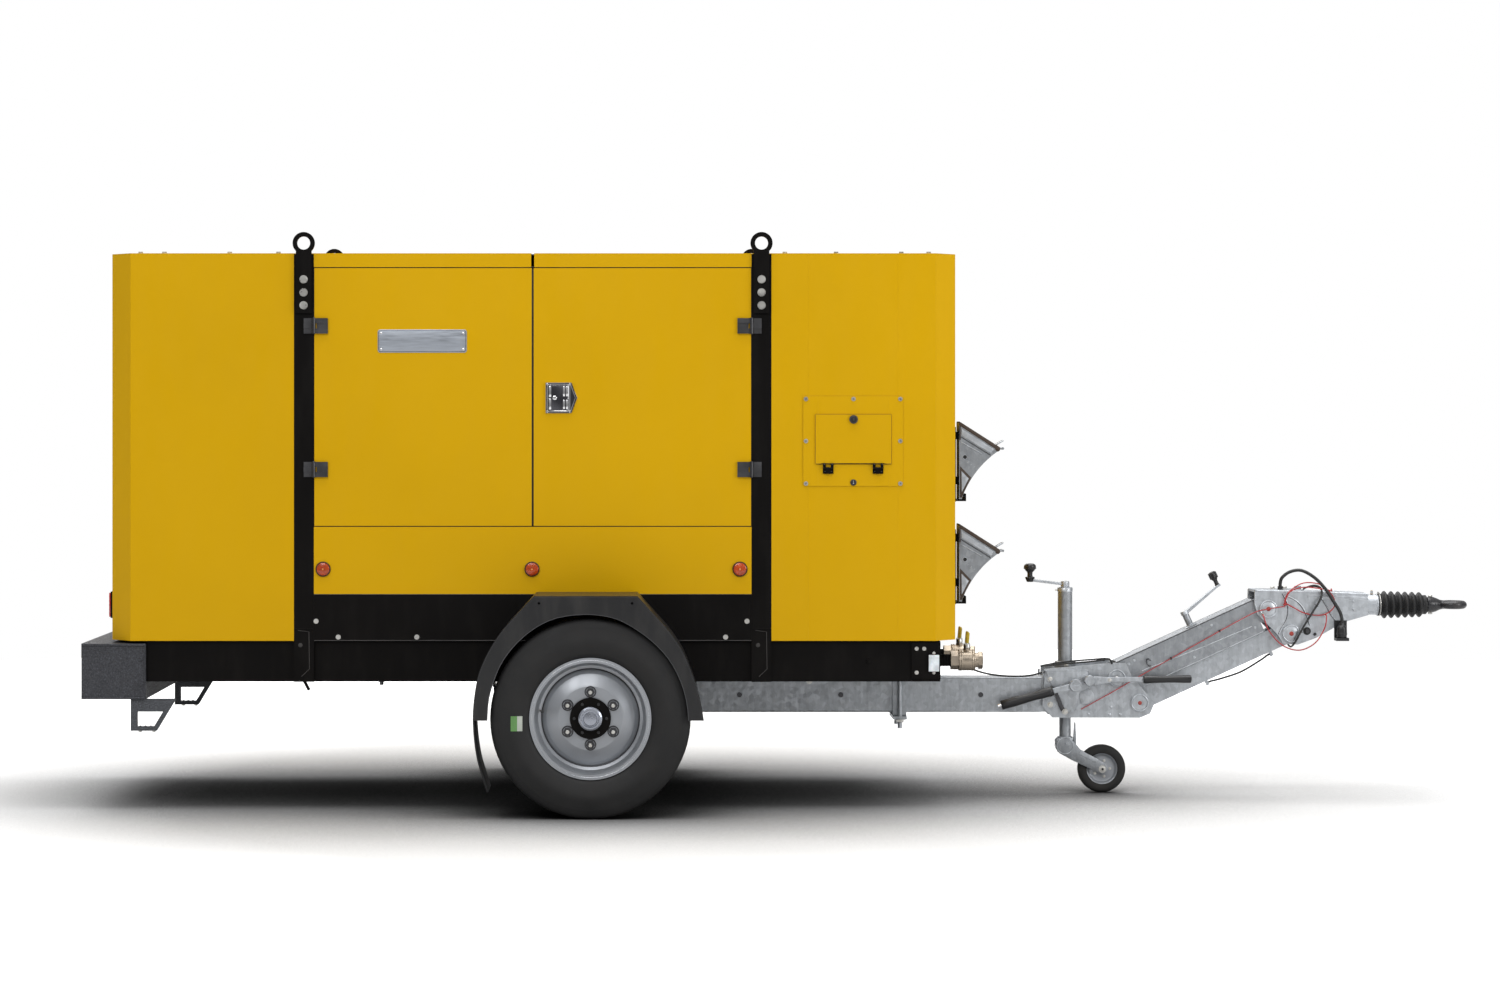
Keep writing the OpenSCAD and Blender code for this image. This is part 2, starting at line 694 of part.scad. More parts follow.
module chock(z) {
    color(zinc) translate([0, 0, z]) {
        difference() {
            side_plate(chock_y) difference() {
                polygon(chock_outline);
                translate(chock_arc) circle(r = tyre_od / 2, $fn = 128);
            }
            side_plate([chock_y[0] + chock_t, chock_y[1] - chock_t]) difference() {
                polygon([[chock_back + 4, 40], [700, 40], [806, 200], [chock_back + 4, 290]]);
                translate(chock_arc) circle(r = tyre_od / 2 + chock_t, $fn = 128);
            }
        }
        // Wire handle at the nose
        for (y = [chock_y[0] + 30, chock_y[1] - 30]) bar_x(4, [812, 847], y, 203);
        bar_y(5, 848, [chock_y[0] + 22, chock_y[1] - 22], 203);
    }
}

module chock_upper() { chock(chock_zs[1]); }
module chock_lower() { chock(chock_zs[0]); }

valve_ys = [-450, -130];
valve_z = 582;
stem_x = 706;
stem_r = 7;

module valve_bodies() {
    for (y = valve_ys) {
        color(black) bar_x(24, [rail_front + gap, 640], y, valve_z);
        color(brass) {
            translate([640, y, valve_z]) rotate([0, 90, 0]) cylinder(r = 38, h = 32, $fn = 6);
            bar_x(42, [672, 738], y, valve_z);
            bar_x(30, [738, 752], y, valve_z);
            translate([752, y, valve_z]) rotate([0, 90, 0]) cylinder(r = 36, h = 16, $fn = 6);
            bar_z(14, stem_x, y, [valve_z + 30, valve_z + 48]);
            bar_z(stem_r, stem_x, y, [valve_z + 48, valve_z + 66]);
        }
    }
}

module valve_lever(y) {
    color(yellow) difference() {
        union() {
            bar_z(13, stem_x, y, [valve_z + 48 + free, valve_z + 72]);
            block([stem_x - 5, stem_x + 5], [y - 34, y + 34], [valve_z + 72, valve_z + 116]);
        }
        bar_z(stem_r + run, stem_x, y, [valve_z + 47, valve_z + 68]);
    }
}

module valve_lever_outer() { valve_lever(valve_ys[0]); }
module valve_lever_inner() { valve_lever(valve_ys[1]); }

// ---- Drawbar ----

head_in = beam_half + gap;
head_out = head_in + head_plate;
head_outline = [
    [1054, 365], [1095, 318], [1457, 317], [1500, 335], [1519, 379], [1424, 490], [1400, 544],
    [1343, 544], [1066, 519]
];
disc_r = 38;
brake_pivot = [1187, 454];
clamp_pivot = [1245, 474];
lever_y = [-134, -106];
shelf_zs = [392, 500];

module drawbar_head() {
    color(zinc) {
        both_sides() side_plate([head_in, head_out]) polygon(head_outline);
        // Shelves between the side plates that hold the jack tube
        for (z = shelf_zs) difference() {
            block([beam_front + 4, 1285], [-beam_half, beam_half], [z, z + head_plate]);
            bar_z(jack_r + gap, jack_x, 0, [z - 1, z + head_plate + 1]);
        }
        // Pivot pins: the length between the plates, and the ends on their discs
        for (p = [upper_rear, lower_rear]) {
            bar_y(pivot_r, p[0], [-beam_half, beam_half], p[1]);
            both_sides() {
                bar_y(disc_r, p[0], [head_out, head_out + 6], p[1]);
                bar_y(pivot_r, p[0], [head_out, head_out + 8], p[1]);
            }
        }
        bar_y(12, brake_pivot[0], [lever_y[0] - 4, -head_out], brake_pivot[1]);
        bar_y(10, clamp_pivot[0], [lever_y[0] - 4, -head_out], clamp_pivot[1]);
    }
    // Cable gland on the upper shelf
    color(black) block([1262, 1284], [-60, -40], [shelf_zs[1] + head_plate, shelf_zs[1] + head_plate + 14]);
}

// Rod between two points in the X-Z plane
module rod_xz(r, a, b, y) {
    d = b - a;
    translate([a[0], y, a[1]]) rotate([0, 90 - atan2(d[1], d[0]), 0]) cylinder(r = r, h = norm(d));
}

lever_mid = (lever_y[0] + lever_y[1]) / 2;
grip_a = [1091, 431];
grip_b = [880, 372];
button_r = 9;
grip_dir = unit(grip_b - grip_a);

module brake_lever() {
    color(black) difference() {
        union() {
            bar_y(26, brake_pivot[0], lever_y, brake_pivot[1]);
            rod_xz(11, brake_pivot, grip_a, lever_mid);
            rod_xz(19.5, grip_a, grip_b, lever_mid);
        }
        bar_y(12 + run, brake_pivot[0], [lever_y[0] - 1, lever_y[1] + 1], brake_pivot[1]);
        rod_xz(button_r + run, grip_b - grip_dir * 40, grip_b + grip_dir, lever_mid);
    }
}

module brake_button() {
    color(chrome) rod_xz(button_r, grip_b - grip_dir * 28, grip_b + grip_dir * 14, lever_mid);
}

module clamp_lever() {
    color(black) difference() {
        union() {
            bar_y(22, clamp_pivot[0], lever_y, clamp_pivot[1]);
            rod_xz(9, clamp_pivot, [1470, 478], lever_mid);
            rod_xz(16, [1470, 478], [1666, 481], lever_mid);
        }
        bar_y(10 + run, clamp_pivot[0], [lever_y[0] - 1, lever_y[1] + 1], clamp_pivot[1]);
    }
}

// Drawn along the link: X runs from the rear pivot to the front pivot
module on_link(p) { translate([p[0], 0, p[1]]) rotate([0, -link_angle, 0]) children(); }

upper_half = 64;
upper_wall = 12;
upper_v = [-80, 59];
lower_v = [-37, 48];
lower_half = 46;
crank_u = 378;
crank_v = 112;

module upper_link() {
    color(zinc) on_link(upper_rear) {
        both_sides() difference() {
            side_plate([upper_half - upper_wall, upper_half]) {
                translate([50, upper_v[0]]) square([link_len - 100, upper_v[1] - upper_v[0]]);
                translate([0, -40]) square([link_len, 40 + upper_v[1]]);
                circle(r = upper_v[1]);
                translate([link_len, 0]) circle(r = upper_v[1]);
            }
            for (u = [0, link_len]) bar_y(pivot_r + run, u, [0, upper_half + 1], 0);
        }
        block([30, link_len - 40], [upper_wall + gap - upper_half, upper_half - upper_wall - gap],
            [upper_v[1] - 12, upper_v[1]]);
        // Post of the crank
        bar_z(14, crank_u, 0, [upper_v[1] + gap, crank_v - free]);
        bar_z(8, crank_u, 0, [upper_v[1] + gap, crank_v + 10]);
    }
}

module lower_link() {
    color(zinc) on_link(lower_rear) {
        difference() {
            side_plate([-lower_half, lower_half]) {
                translate([0, lower_v[0]]) square([link_len, lower_v[1] - lower_v[0]]);
                circle(r = 42);
                translate([link_len, 0]) circle(r = 42);
            }
            block([60, link_len - 60], [6 - lower_half, lower_half - 6], [lower_v[0] + 6, lower_v[1] - 6]);
            bar_y(pivot_r + run, 0, [-lower_half - 1, lower_half + 1], 0);
            bar_y(pivot_r + 1, link_len, [-lower_half - 1, lower_half + 1], 0);
        }
        // Clips of the cable under the link
        for (u = [288, 580]) block([u, u + 12], [-40, -20], [lower_v[0] - 20, lower_v[0]]);
    }
}

module link_crank() {
    color(black) on_link(upper_rear) {
        difference() {
            union() {
                bar_z(17, crank_u, 0, [crank_v, crank_v + 16]);
                side_plate([-12, 12]) polygon([
                    [crank_u, crank_v + 4], [crank_u, crank_v + 14], [crank_u + 168, crank_v + 58],
                    [crank_u + 184, crank_v + 58], [crank_u + 180, crank_v + 48], [crank_u + 24, crank_v + 4]
                ]);
            }
            bar_z(8 + run, crank_u, 0, [crank_v - 1, crank_v + 11]);
        }
        bar_z(15, crank_u + 172, 0, [crank_v + 57, crank_v + 118]);
    }
}

// ---- Hitch head ----

cheek_in = 68.4;
cheek_out = 80;
body_x = 2140;
nose_x = 2404;
shaft_back = 2310;
eye_x = 2772;
eye_r = 58;
head_top = 846;
hitch_outline = [
    [1936, head_top], [nose_x, 831], [nose_x, 742], [2300, 712], [2189, 648], [2112, 620],
    [2052, 623], [2030, 660], [1975, 716], [1946, 745], [1934, 790]
];

module hitch_head() {
    color(zinc) {
        both_sides() difference() {
            side_plate([cheek_in, cheek_out]) polygon(hitch_outline);
            bar_y(12, 2150, [cheek_in - 1, cheek_out + 1], 676);
        }
        // Body between the cheeks, bored for the tow eye shaft
        difference() {
            union() {
                side_plate([gap - cheek_in, cheek_in - gap]) polygon([
                    [body_x, 841], [nose_x, 831], [nose_x, 742], [2300, 712], [2189, 660], [body_x, 660]
                ]);
                bar_x(42, [nose_x - 1, 2458], 0, shaft_z);
            }
            bar_x(shaft_r + run, [shaft_back - 70, 2460], 0, shaft_z);
        }
        block([1936, body_x - gap], [gap - cheek_in, cheek_in - gap], [836, head_top]);
        bar_z(5, 2435, 0, [820, 838]);
        for (p = [upper_front, lower_front]) {
            bar_y(pivot_r, p[0], [-cheek_out - 8, cheek_out + 8], p[1]);
            both_sides() bar_y(disc_r, p[0], [cheek_out, cheek_out + 6], p[1]);
        }
    }
    color(black) {
        // Plug holder, cable gland and the two clips of the breakaway wire
        block([2262, 2314], [-132, -cheek_out - gap], [638, 650]);
        block([2262, 2314], [-cheek_out - 6, -cheek_out - gap], [650, 720]);
        bar_z(11, 2047, -40, [head_top, head_top + 14]);
        for (x = [1965, 2225]) bar_y(7, x, [-92, -cheek_out], 745);
    }
}

bellows_x = [2458, 2660];
ribs = 6;
rib_w = (bellows_x[1] - bellows_x[0]) / ribs;

rib_steps = [0, 0.3, 0.7, 1];
fold_out = [46, 58, 58, 46];
skin = 5;
lip_r = 34;

module bellows() {
    length = ribs * rib_w;
    outside = [for (i = [0 : ribs - 1], s = [1 : 3]) [fold_out[s], rib_w * (i + rib_steps[s])]];
    inside = [for (i = [ribs - 1 : -1 : 0], s = [2 : -1 : 0])
        [fold_out[s] - skin, max(skin, rib_w * (i + rib_steps[s]))]];
    color(rubber) translate([bellows_x[0], 0, shaft_z]) rotate([0, 90, 0]) rotate_extrude()
        polygon(concat([[fold_out[0], 0]], outside,
            [[lip_r, length], [lip_r, length - skin], [fold_out[3] - skin, length - skin]],
            inside, [[lip_r, skin], [lip_r, 0]]));
}

module tow_eye() {
    color(black) {
        bar_x(shaft_r, [shaft_back, 2700], 0, shaft_z);
        bar_x(32, [2663, 2696], 0, shaft_z);
        difference() {
            union() {
                bar_x(20, [2695, 2740], 0, shaft_z);
                translate([eye_x, 0, shaft_z]) rotate_extrude($fn = 96) polygon([
                    [0, -17], [eye_r - 10, -17], [eye_r, -9], [eye_r, 9], [eye_r - 10, 17], [0, 17]
                ]);
            }
            bar_z(eye_bore_r, eye_x, 0, [shaft_z - 30, shaft_z + 30]);
        }
    }
}

// ---- Jack ----

tube_z0 = 380;
inner_z = [233, 762];
swivel_r = 14;
fork_in = 29;
fork_t = 6;
fork_outline = [
    [1122, 233], [1200, 233], [1214, 178], [1326, 118], [1330, 88], [1296, 80], [1122, 168]
];
jockey_pin = 10;

module jack_tube() {
    color(zinc) {
        difference() {
            bar_z(jack_r, jack_x, 0, [tube_z0, jack_top]);
            bar_z(inner_r + run, jack_x, 0, [tube_z0 - 1, jack_top - 13]);
        }
        // Clamp collar above the upper shelf
        difference() {
            bar_z(44, jack_x, 0, [shelf_zs[1] + head_plate + gap, 545]);
            bar_z(jack_r - 1, jack_x, 0, [shelf_zs[1], 546]);
        }
        bar_z(10, jack_x, 0, [jack_top - 1, jack_top + 22]);
    }
}

module jack_inner() {
    color(zinc) {
        bar_z(inner_r, jack_x, 0, inner_z);
        bar_z(swivel_r, jack_x, 0, [inner_z[0] - 38, inner_z[0] + 1]);
    }
}

module jockey_fork() {
    color(zinc) {
        difference() {
            block([jack_x - 30, jack_x + 42], [-fork_in, fork_in], [193, inner_z[0] - free]);
            bar_z(swivel_r + run, jack_x, 0, [190, inner_z[0] + 1]);
        }
        both_sides() side_plate([fork_in, fork_in + fork_t]) polygon(fork_outline);
        bar_y(jockey_pin, jockey_x, [-fork_in - fork_t - 6, fork_in + fork_t + 6], jockey_r);
        block([jack_x + 33, jack_x + 42], [-10, 10], [inner_z[0] - free, 292]);
    }
}

module jockey_wheel() {
    half = jockey_w / 2;
    color(rubber) translate([jockey_x, 0, jockey_r]) rotate([90, 0, 0]) rotate_extrude($fn = 96) polygon([
        [jockey_pin + run, -half], [22, -half], [22, -14], [56, -14], [62, -half], [90, -half],
        [jockey_r, -half + 10], [jockey_r, half - 10], [90, half], [62, half], [56, 14], [22, 14],
        [22, half], [jockey_pin + run, half]
    ]);
}

crank_end = 1012;

module jack_crank() {
    color(zinc) difference() {
        union() {
            bar_z(20, jack_x, 0, [jack_top + free, jack_top + 26]);
            block([crank_end - 12, jack_x], [-12, 12], [jack_top + 12, jack_top + 22]);
        }
        bar_z(10 + run, jack_x, 0, [jack_top, jack_top + 23]);
    }
    color(black) {
        bar_z(10, crank_end, 0, [jack_top + 21, 894]);
        bar_z(25.5, crank_end, 0, [893, 953]);
    }
}

// ---- Inside the canopy ----

engine_x = [-1080, -410];
crank_z = 1030;
sump_t = 8;
filter_r = 80;
fan_x = [-1270, -1210];

module engine() {
    color([0.25, 0.32, 0.30]) {
        block(engine_x, [-150, 150], [850, 1150]);
        block([engine_x[0] + 30, engine_x[1] - 30], [-110, 110], [1150 + gap, 1300]);
        hollow([engine_x[0] + 60, engine_x[1] - 60], [-130, 130], [730, 850 - gap], sump_t);
        for (x = [engine_x[0] + 20, engine_x[1] - 60], y = [-190, 150 + gap])
            block([x, x + 40], [y, y + 40 - gap], [rail_z1 + gap, 900]);
        // Exhaust manifold and air filter
        bar_x(35, [engine_x[0] + 60, engine_x[1] - 60], 150, 1230);
        difference() {
            bar_x(filter_r, [engine_x[0] + 150, engine_x[1] - 150], -60, 1301 + filter_r);
            bar_x(filter_r - sump_t, [engine_x[0] + 150 + sump_t, engine_x[1] - 150 - sump_t], -60,
                1301 + filter_r);
        }
        bar_x(15, [fan_x[0] - 10, engine_x[0]], 0, crank_z);
    }
}

stator_r = 175;

module alternator() {
    color([0.20, 0.30, 0.50]) {
        bar_x(stator_r, [engine_x[1] + gap, engine_x[1] + 630], 0, 930);
        for (x = [engine_x[1] + 50, engine_x[1] + 530])
            block([x, x + 50], [-160, 160], [rail_z1 + gap, 930 - stator_r - gap]);
        hollow([engine_x[1] + 180, engine_x[1] + 450], [-130, 130], [930 + stator_r + gap, 1245], sump_t);
    }
}

core_x = fan_x[0] - 80;

module radiator() {
    color([0.15, 0.15, 0.16]) {
        block([core_x, core_x + 50], [-400, 400], [740, 1600]);
        for (y = [-400, 340]) block([core_x, core_x + 50], [y, y + 60], [rail_z1 + gap, 740]);
        // Cooling fins
        for (k = [0 : 15]) block([core_x - 8, core_x], [-370, 370], [800 + 50 * k, 820 + 50 * k]);
    }
}

module fan() {
    color("orange") translate([fan_x[0], 0, crank_z]) rotate([0, 90, 0]) {
        difference() {
            cylinder(r = 55, h = fan_x[1] - fan_x[0]);
            translate([0, 0, -1]) cylinder(r = 15 + run, h = fan_x[1] - fan_x[0] + 2);
        }
        for (k = [0 : 6]) rotate([0, 0, k * 360 / 7])
            translate([50, 0, 30]) rotate([28, 0, 0]) translate([0, -35, -3]) cube([190, 70, 6]);
    }
}

silencer_r = 110;
silencer_z = 1650;

module silencer() {
    color([0.45, 0.42, 0.40]) {
        difference() {
            bar_x(silencer_r, [-2560, -2060], 0, silencer_z);
            bar_x(silencer_r - 4, [-2556, -2064], 0, silencer_z);
        }
        bar_x(32, [gap - 2060, -1420], 0, silencer_z);
        for (x = [-2500, -2180])
            block([x, x + 60], [-40, 40], [rail_z1 + gap, silencer_z - silencer_r - gap]);
    }
}

module fuel_tank() {
    color([0.12, 0.12, 0.12]) {
        block([-1900, -1430], [-500, 500], [rail_z1 + gap, 980]);
        bar_z(45, -1840, -440, [980, 1040]);
    }
}

module electrics() {
    color([0.75, 0.75, 0.72]) {
        // Battery and control cabinet
        block([340, 520], [-260, -20], [rail_z1 + gap, 870]);
        for (y = [-220, -80]) bar_z(10, 370, y, [870, 885]);
        block([400, 575], [150, 540], [rail_z1 + gap, 1450]);
    }
}

// ---- Cords ----

cable_r = 4;
lead_r = 7;
wire_r = 2.5;
gland_x = rail_front + 12;
front_route = [
    [gland_x, -40, 560], [650, -41, 553], [740, -44, 524], [830, -47, 497], [920, -49, 487],
    [1000, -50, 489], [1060, -51, 503], [1110, -51, 516], [1180, -51, 517], [1262, -51, 517]
];
arm_route = [
    [300, -30, -48], [312, -30, -48], [350, -31, -55], [440, -33, -64], [530, -31, -55], [568, -30, -48],
    [580, -30, -48]
];
head_route = [
    [2047, -40, 860], [2047, -40, 872], [2054, -45, 896], [2085, -52, 920], [2130, -64, 926], [2180, -82, 898],
    [2222, -98, 852], [2255, -106, 800], [2279, -110, 760], [2288, -110, 730], [2288, -110, 712]
];
wire_route = [
    [1965, -92, 745], [1966, -112, 735], [1985, -122, 680], [2040, -127, 620], [2110, -128, 600],
    [2175, -126, 630], [2215, -119, 690], [2225, -110, 735], [2225, -92, 745]
];

module front_cable() { color(rubber) cord_tube(front_route, cable_r, 3); }

// The route is drawn along the lower link
module arm_cable() { color(rubber) on_link(lower_rear) cord_tube(arm_route, cable_r, 3); }

module head_cable() { color(rubber) cord_tube(head_route, lead_r, 2); }

module breakaway_wire() { color("red") cord_tube(wire_route, wire_r, 3); }

module plug() {
    color(black) {
        bar_z(22, 2288, -110, [650 + gap, 700]);
        bar_z(12, 2288, -110, [700, 712]);
    }
}

frame_rails();
rear_bumper();
axle_beam();
drawbar_beam();
mudguards();
mud_flaps();
posts();
lifting_lugs();
fasteners();
rear_canopy();
front_canopy();
roof_panels();
lower_panels();
skirt_panels();
service_panel();
lamps();
chock_holders();
valve_bodies();
drawbar_head();
jack_tube();
door_right_rear();
door_right_front();
door_left_rear();
door_left_front();
latch_right();
latch_left();
service_flap();
rim_right();
tyre_right();
rim_left();
tyre_left();
valve_lever_outer();
valve_lever_inner();
brake_lever();
brake_button();
clamp_lever();
upper_link();
lower_link();
link_crank();
hitch_head();
bellows();
tow_eye();
jack_inner();
jockey_fork();
jockey_wheel();
jack_crank();
chock_upper();
chock_lower();
engine();
alternator();
radiator();
fan();
silencer();
fuel_tank();
electrics();
front_cable();
arm_cable();
head_cable();
breakaway_wire();
plug();
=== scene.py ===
import bmesh
import bpy
from math import cos, pi, radians, sin, sqrt
from mathutils import Matrix, Vector


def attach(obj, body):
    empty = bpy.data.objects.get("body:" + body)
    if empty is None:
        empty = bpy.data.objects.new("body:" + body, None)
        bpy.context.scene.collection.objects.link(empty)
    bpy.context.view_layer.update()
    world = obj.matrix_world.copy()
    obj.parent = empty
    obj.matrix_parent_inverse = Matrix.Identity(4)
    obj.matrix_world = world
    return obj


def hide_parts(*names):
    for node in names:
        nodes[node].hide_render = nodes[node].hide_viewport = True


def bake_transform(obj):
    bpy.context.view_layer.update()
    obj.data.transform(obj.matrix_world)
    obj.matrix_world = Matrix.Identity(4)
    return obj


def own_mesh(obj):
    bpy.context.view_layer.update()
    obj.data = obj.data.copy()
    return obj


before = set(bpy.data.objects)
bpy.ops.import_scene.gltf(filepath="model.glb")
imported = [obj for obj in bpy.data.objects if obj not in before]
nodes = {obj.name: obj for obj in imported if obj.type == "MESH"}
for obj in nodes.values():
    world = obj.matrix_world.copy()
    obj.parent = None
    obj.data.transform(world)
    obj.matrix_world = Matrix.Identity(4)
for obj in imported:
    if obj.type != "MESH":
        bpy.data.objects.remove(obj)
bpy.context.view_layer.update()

X, Y, Z = (1, 0, 0), (0, 1, 0), (0, 0, 1)
DOWN, NEAR = (0, 0, -1), (0, -1, 0)


# ---- Material tools ----

def put(tree, socket, value):
    """Links a socket's source, or sets the constant."""
    if hasattr(value, "is_linked"):
        tree.links.new(value, socket)
    else:
        socket.default_value = (*value, 1) if socket.type == "RGBA" and len(value) == 3 else value


def add(tree, kind, output, **inputs):
    """New shader node with its inputs set or linked (_ stands for a space); returns one output."""
    n = tree.nodes.new("ShaderNode" + kind)
    for key, value in inputs.items():
        put(tree, n.inputs[key.replace("_", " ")], value)
    return n.outputs[output]


def new_material(name, color, roughness, metallic=0.0, **levels):
    """Node material with constant values on its shader sockets."""
    m = bpy.data.materials.new(name)
    m.use_nodes = True
    m.diffuse_color = (*color, 1)
    shader = m.node_tree.nodes["Principled BSDF"]
    for key, value in dict(levels, Base_Color=color, Roughness=roughness, Metallic=metallic).items():
        put(m.node_tree, shader.inputs[key.replace("_", " ")], value)
    return m, m.node_tree, shader


def object_coords(tree, scale=(1, 1, 1)):
    return add(tree, "Mapping", "Vector", Vector=add(tree, "TexCoord", "Object"), Scale=scale)


def noise(tree, vector, scale, detail=4.0, rough=0.55):
    return add(tree, "TexNoise", "Fac", Vector=vector, Scale=scale, Detail=detail, Roughness=rough)


def spread(tree, value, low, high, out_low, out_high):
    """Maps value from low..high to out_low..out_high, clamped."""
    return add(tree, "MapRange", "Result", Value=value, From_Min=low, From_Max=high, To_Min=out_low,
               To_Max=out_high)


def ramp(tree, value, stops):
    """Colour ramp; stops are (place, colour)."""
    r = tree.nodes.new("ShaderNodeValToRGB")
    elements = r.color_ramp.elements
    while len(elements) < len(stops):
        elements.new(0.5)
    for element, (place, color) in zip(elements, stops):
        element.position = place
        element.color = (*color, 1)
    put(tree, r.inputs["Fac"], value)
    return r.outputs["Color"]


def mix_color(tree, factor, a, b):
    n = tree.nodes.new("ShaderNodeMix")
    n.data_type = "RGBA"
    for key, value in (("Factor", factor), ("A", a), ("B", b)):
        put(tree, n.inputs[key], value)
    return n.outputs["Result"]


def math_node(tree, operation, a, b=0.0):
    n = tree.nodes.new("ShaderNodeMath")
    n.operation = operation
    put(tree, n.inputs[0], a)
    put(tree, n.inputs[1], b)
    return n.outputs[0]


def bump(tree, shader, height, distance, strength=1.0):
    put(tree, shader.inputs["Normal"],
        add(tree, "Bump", "Normal", Height=height, Distance=distance, Strength=strength))


def split_xyz(tree, vector):
    n = tree.nodes.new("ShaderNodeSeparateXYZ")
    put(tree, n.inputs["Vector"], vector)
    return n.outputs


def tone(color, strength):
    return tuple(min(1, c * strength) for c in color)


def drift(tree, value, color, low, high):
    """Colour that goes from its low to its high strength with value."""
    return ramp(tree, value, [(0.3, tone(color, low)), (0.7, tone(color, high))])


def wear(tree, shader, value, roughness, low, high, end=0.7):
    """Roughness that goes from its low to its high share with value."""
    put(tree, shader.inputs["Roughness"], spread(tree, value, 0.3, end, roughness * low,
                                                 min(1, roughness * high)))


# ---- Kinds of surface ----

def paint(name, color, roughness, variation=0.06, coat=0.15, gloss=0.3, dust=0.0, metallic=0.0):
    """Sprayed paint: slow colour drift, orange peel, faint smears and dust that gathers in patches."""
    m, tree, shader = new_material(name, color, roughness, metallic, Specular_IOR_Level=gloss,
                                   Coat_Weight=coat, Coat_Roughness=0.18)
    v = object_coords(tree)
    base = drift(tree, noise(tree, v, 1.3, 3), color, 1 - variation, 1 + variation)
    smear = noise(tree, object_coords(tree, (5, 5, 1.2)), 3.2, 6, 0.6)
    if dust:
        base = mix_color(tree, spread(tree, smear, 0.48, 0.78, 0, dust), base, (0.35, 0.32, 0.28))
    put(tree, shader.inputs["Base Color"], base)
    wear(tree, shader, smear, roughness, 0.85, 1.3, 0.75)
    bump(tree, shader, noise(tree, v, 260, 2), 0.00012)
    return m


def galvanised(name, light, dark):
    """Hot-dip zinc: crystal cells of different grey and gloss, with streaks and faint runs."""
    m, tree, shader = new_material(name, (light, light, light), 0.42, 0.85)
    v = object_coords(tree)
    warp = noise(tree, v, 9, 3)
    grey = split_xyz(tree, add(tree, "TexVoronoi", "Color", Vector=v, Scale=58, Randomness=1))
    streak = noise(tree, object_coords(tree, (14, 14, 2.5)), 4, 5, 0.65)
    mixed = math_node(tree, "ADD", math_node(tree, "MULTIPLY", grey["X"], 0.24),
                      math_node(tree, "MULTIPLY", streak, 0.76))
    stops = ((0.2, dark), (0.5, light * 0.6 + dark * 0.4), (0.8, light * 1.1))
    put(tree, shader.inputs["Base Color"],
        ramp(tree, mixed, [(place, tone((0.98, 1.03, 1.09), level)) for place, level in stops]))
    put(tree, shader.inputs["Roughness"], spread(tree, grey["Y"], 0, 1, 0.4, 0.52))
    height = math_node(tree, "ADD", math_node(tree, "MULTIPLY", grey["Z"], 0.08), warp)
    bump(tree, shader, height, 0.0005, 0.35)
    return m


def metal(name, color, roughness, grain=220.0, grain_depth=0.00005, tint=0.12, stretch=(1, 1, 1)):
    """Plain metal with drifting tint, small scratches and worn gloss."""
    m, tree, shader = new_material(name, color, roughness, 1.0)
    v = object_coords(tree, stretch)
    n = noise(tree, v, 14, 5, 0.6)
    put(tree, shader.inputs["Base Color"], drift(tree, n, color, 1 - tint, 1 + tint))
    wear(tree, shader, n, roughness, 0.75, 1.35)
    bump(tree, shader, noise(tree, v, grain, 3), grain_depth)
    return m


def rubber(name, color, roughness, dust, dust_color=(0.11, 0.10, 0.09)):
    """Matt rubber with a pebbled skin and grey dust in the low parts."""
    m, tree, shader = new_material(name, color, roughness, Specular_IOR_Level=0.3)
    v = object_coords(tree)
    patch = noise(tree, v, 7, 6, 0.6)
    put(tree, shader.inputs["Base Color"],
        mix_color(tree, spread(tree, patch, 0.42, 0.72, 0, dust), color, dust_color))
    wear(tree, shader, patch, roughness, 0.85, 1.2)
    bump(tree, shader, noise(tree, v, 420, 3), 0.00015)
    return m


def plastic(name, color, roughness, texture=700.0, depth=0.00008):
    """Moulded plastic with a fine skin."""
    m, tree, shader = new_material(name, color, roughness)
    v = object_coords(tree)
    patch = noise(tree, v, 18, 4)
    put(tree, shader.inputs["Base Color"], drift(tree, patch, color, 0.9, 1.1))
    wear(tree, shader, patch, roughness, 0.85, 1.2)
    bump(tree, shader, noise(tree, v, texture, 2), depth)
    return m


def textured_paint(name, color):
    """Rough anti-slip coating; the grain that raises its bump also sets its colour, darker in the pits as
    painted shade and bright on the raised grains as painted highlight.
    """
    m, tree, shader = new_material(name, color, 0.62)
    grain = noise(tree, object_coords(tree), 190, 4, 0.7)
    # Colour follows the bump's grain: painted shade in the pits, painted highlight on the raised grains
    put(tree, shader.inputs["Base Color"],
        ramp(tree, grain, [(0.35, tone(color, 0.45)), (0.58, color), (0.74, tone(color, 2.6))]))
    put(tree, shader.inputs["Roughness"], spread(tree, grain, 0.35, 0.7, 0.75, 0.42))
    bump(tree, shader, grain, 0.0016)
    return m


def lens(name, color):
    """Moulded lamp lens with fine prisms under a glossy face."""
    m, tree, shader = new_material(name, color, 0.12, Coat_Weight=0.6, Coat_Roughness=0.04,
                                   Subsurface_Weight=0.15, Subsurface_Scale=0.01)
    v = object_coords(tree)
    put(tree, shader.inputs["Base Color"], drift(tree, noise(tree, v, 30, 2), color, 0.75, 1.2))
    bump(tree, shader, add(tree, "TexWave", "Fac", Vector=v, Scale=21), 0.0004)
    return m


def foam(name, color):
    """Open-cell sound foam, darker in the pit of each cell as painted shade."""
    m, tree, shader = new_material(name, color, 0.95)
    cell = add(tree, "TexVoronoi", "Distance", Vector=object_coords(tree), Scale=160)
    # Darker where the cell bump is lowest: painted shade in the pits
    put(tree, shader.inputs["Base Color"], ramp(tree, cell, [(0.0, tone(color, 0.4)), (0.6, color)]))
    bump(tree, shader, cell, 0.003)
    return m


# ---- Materials ----

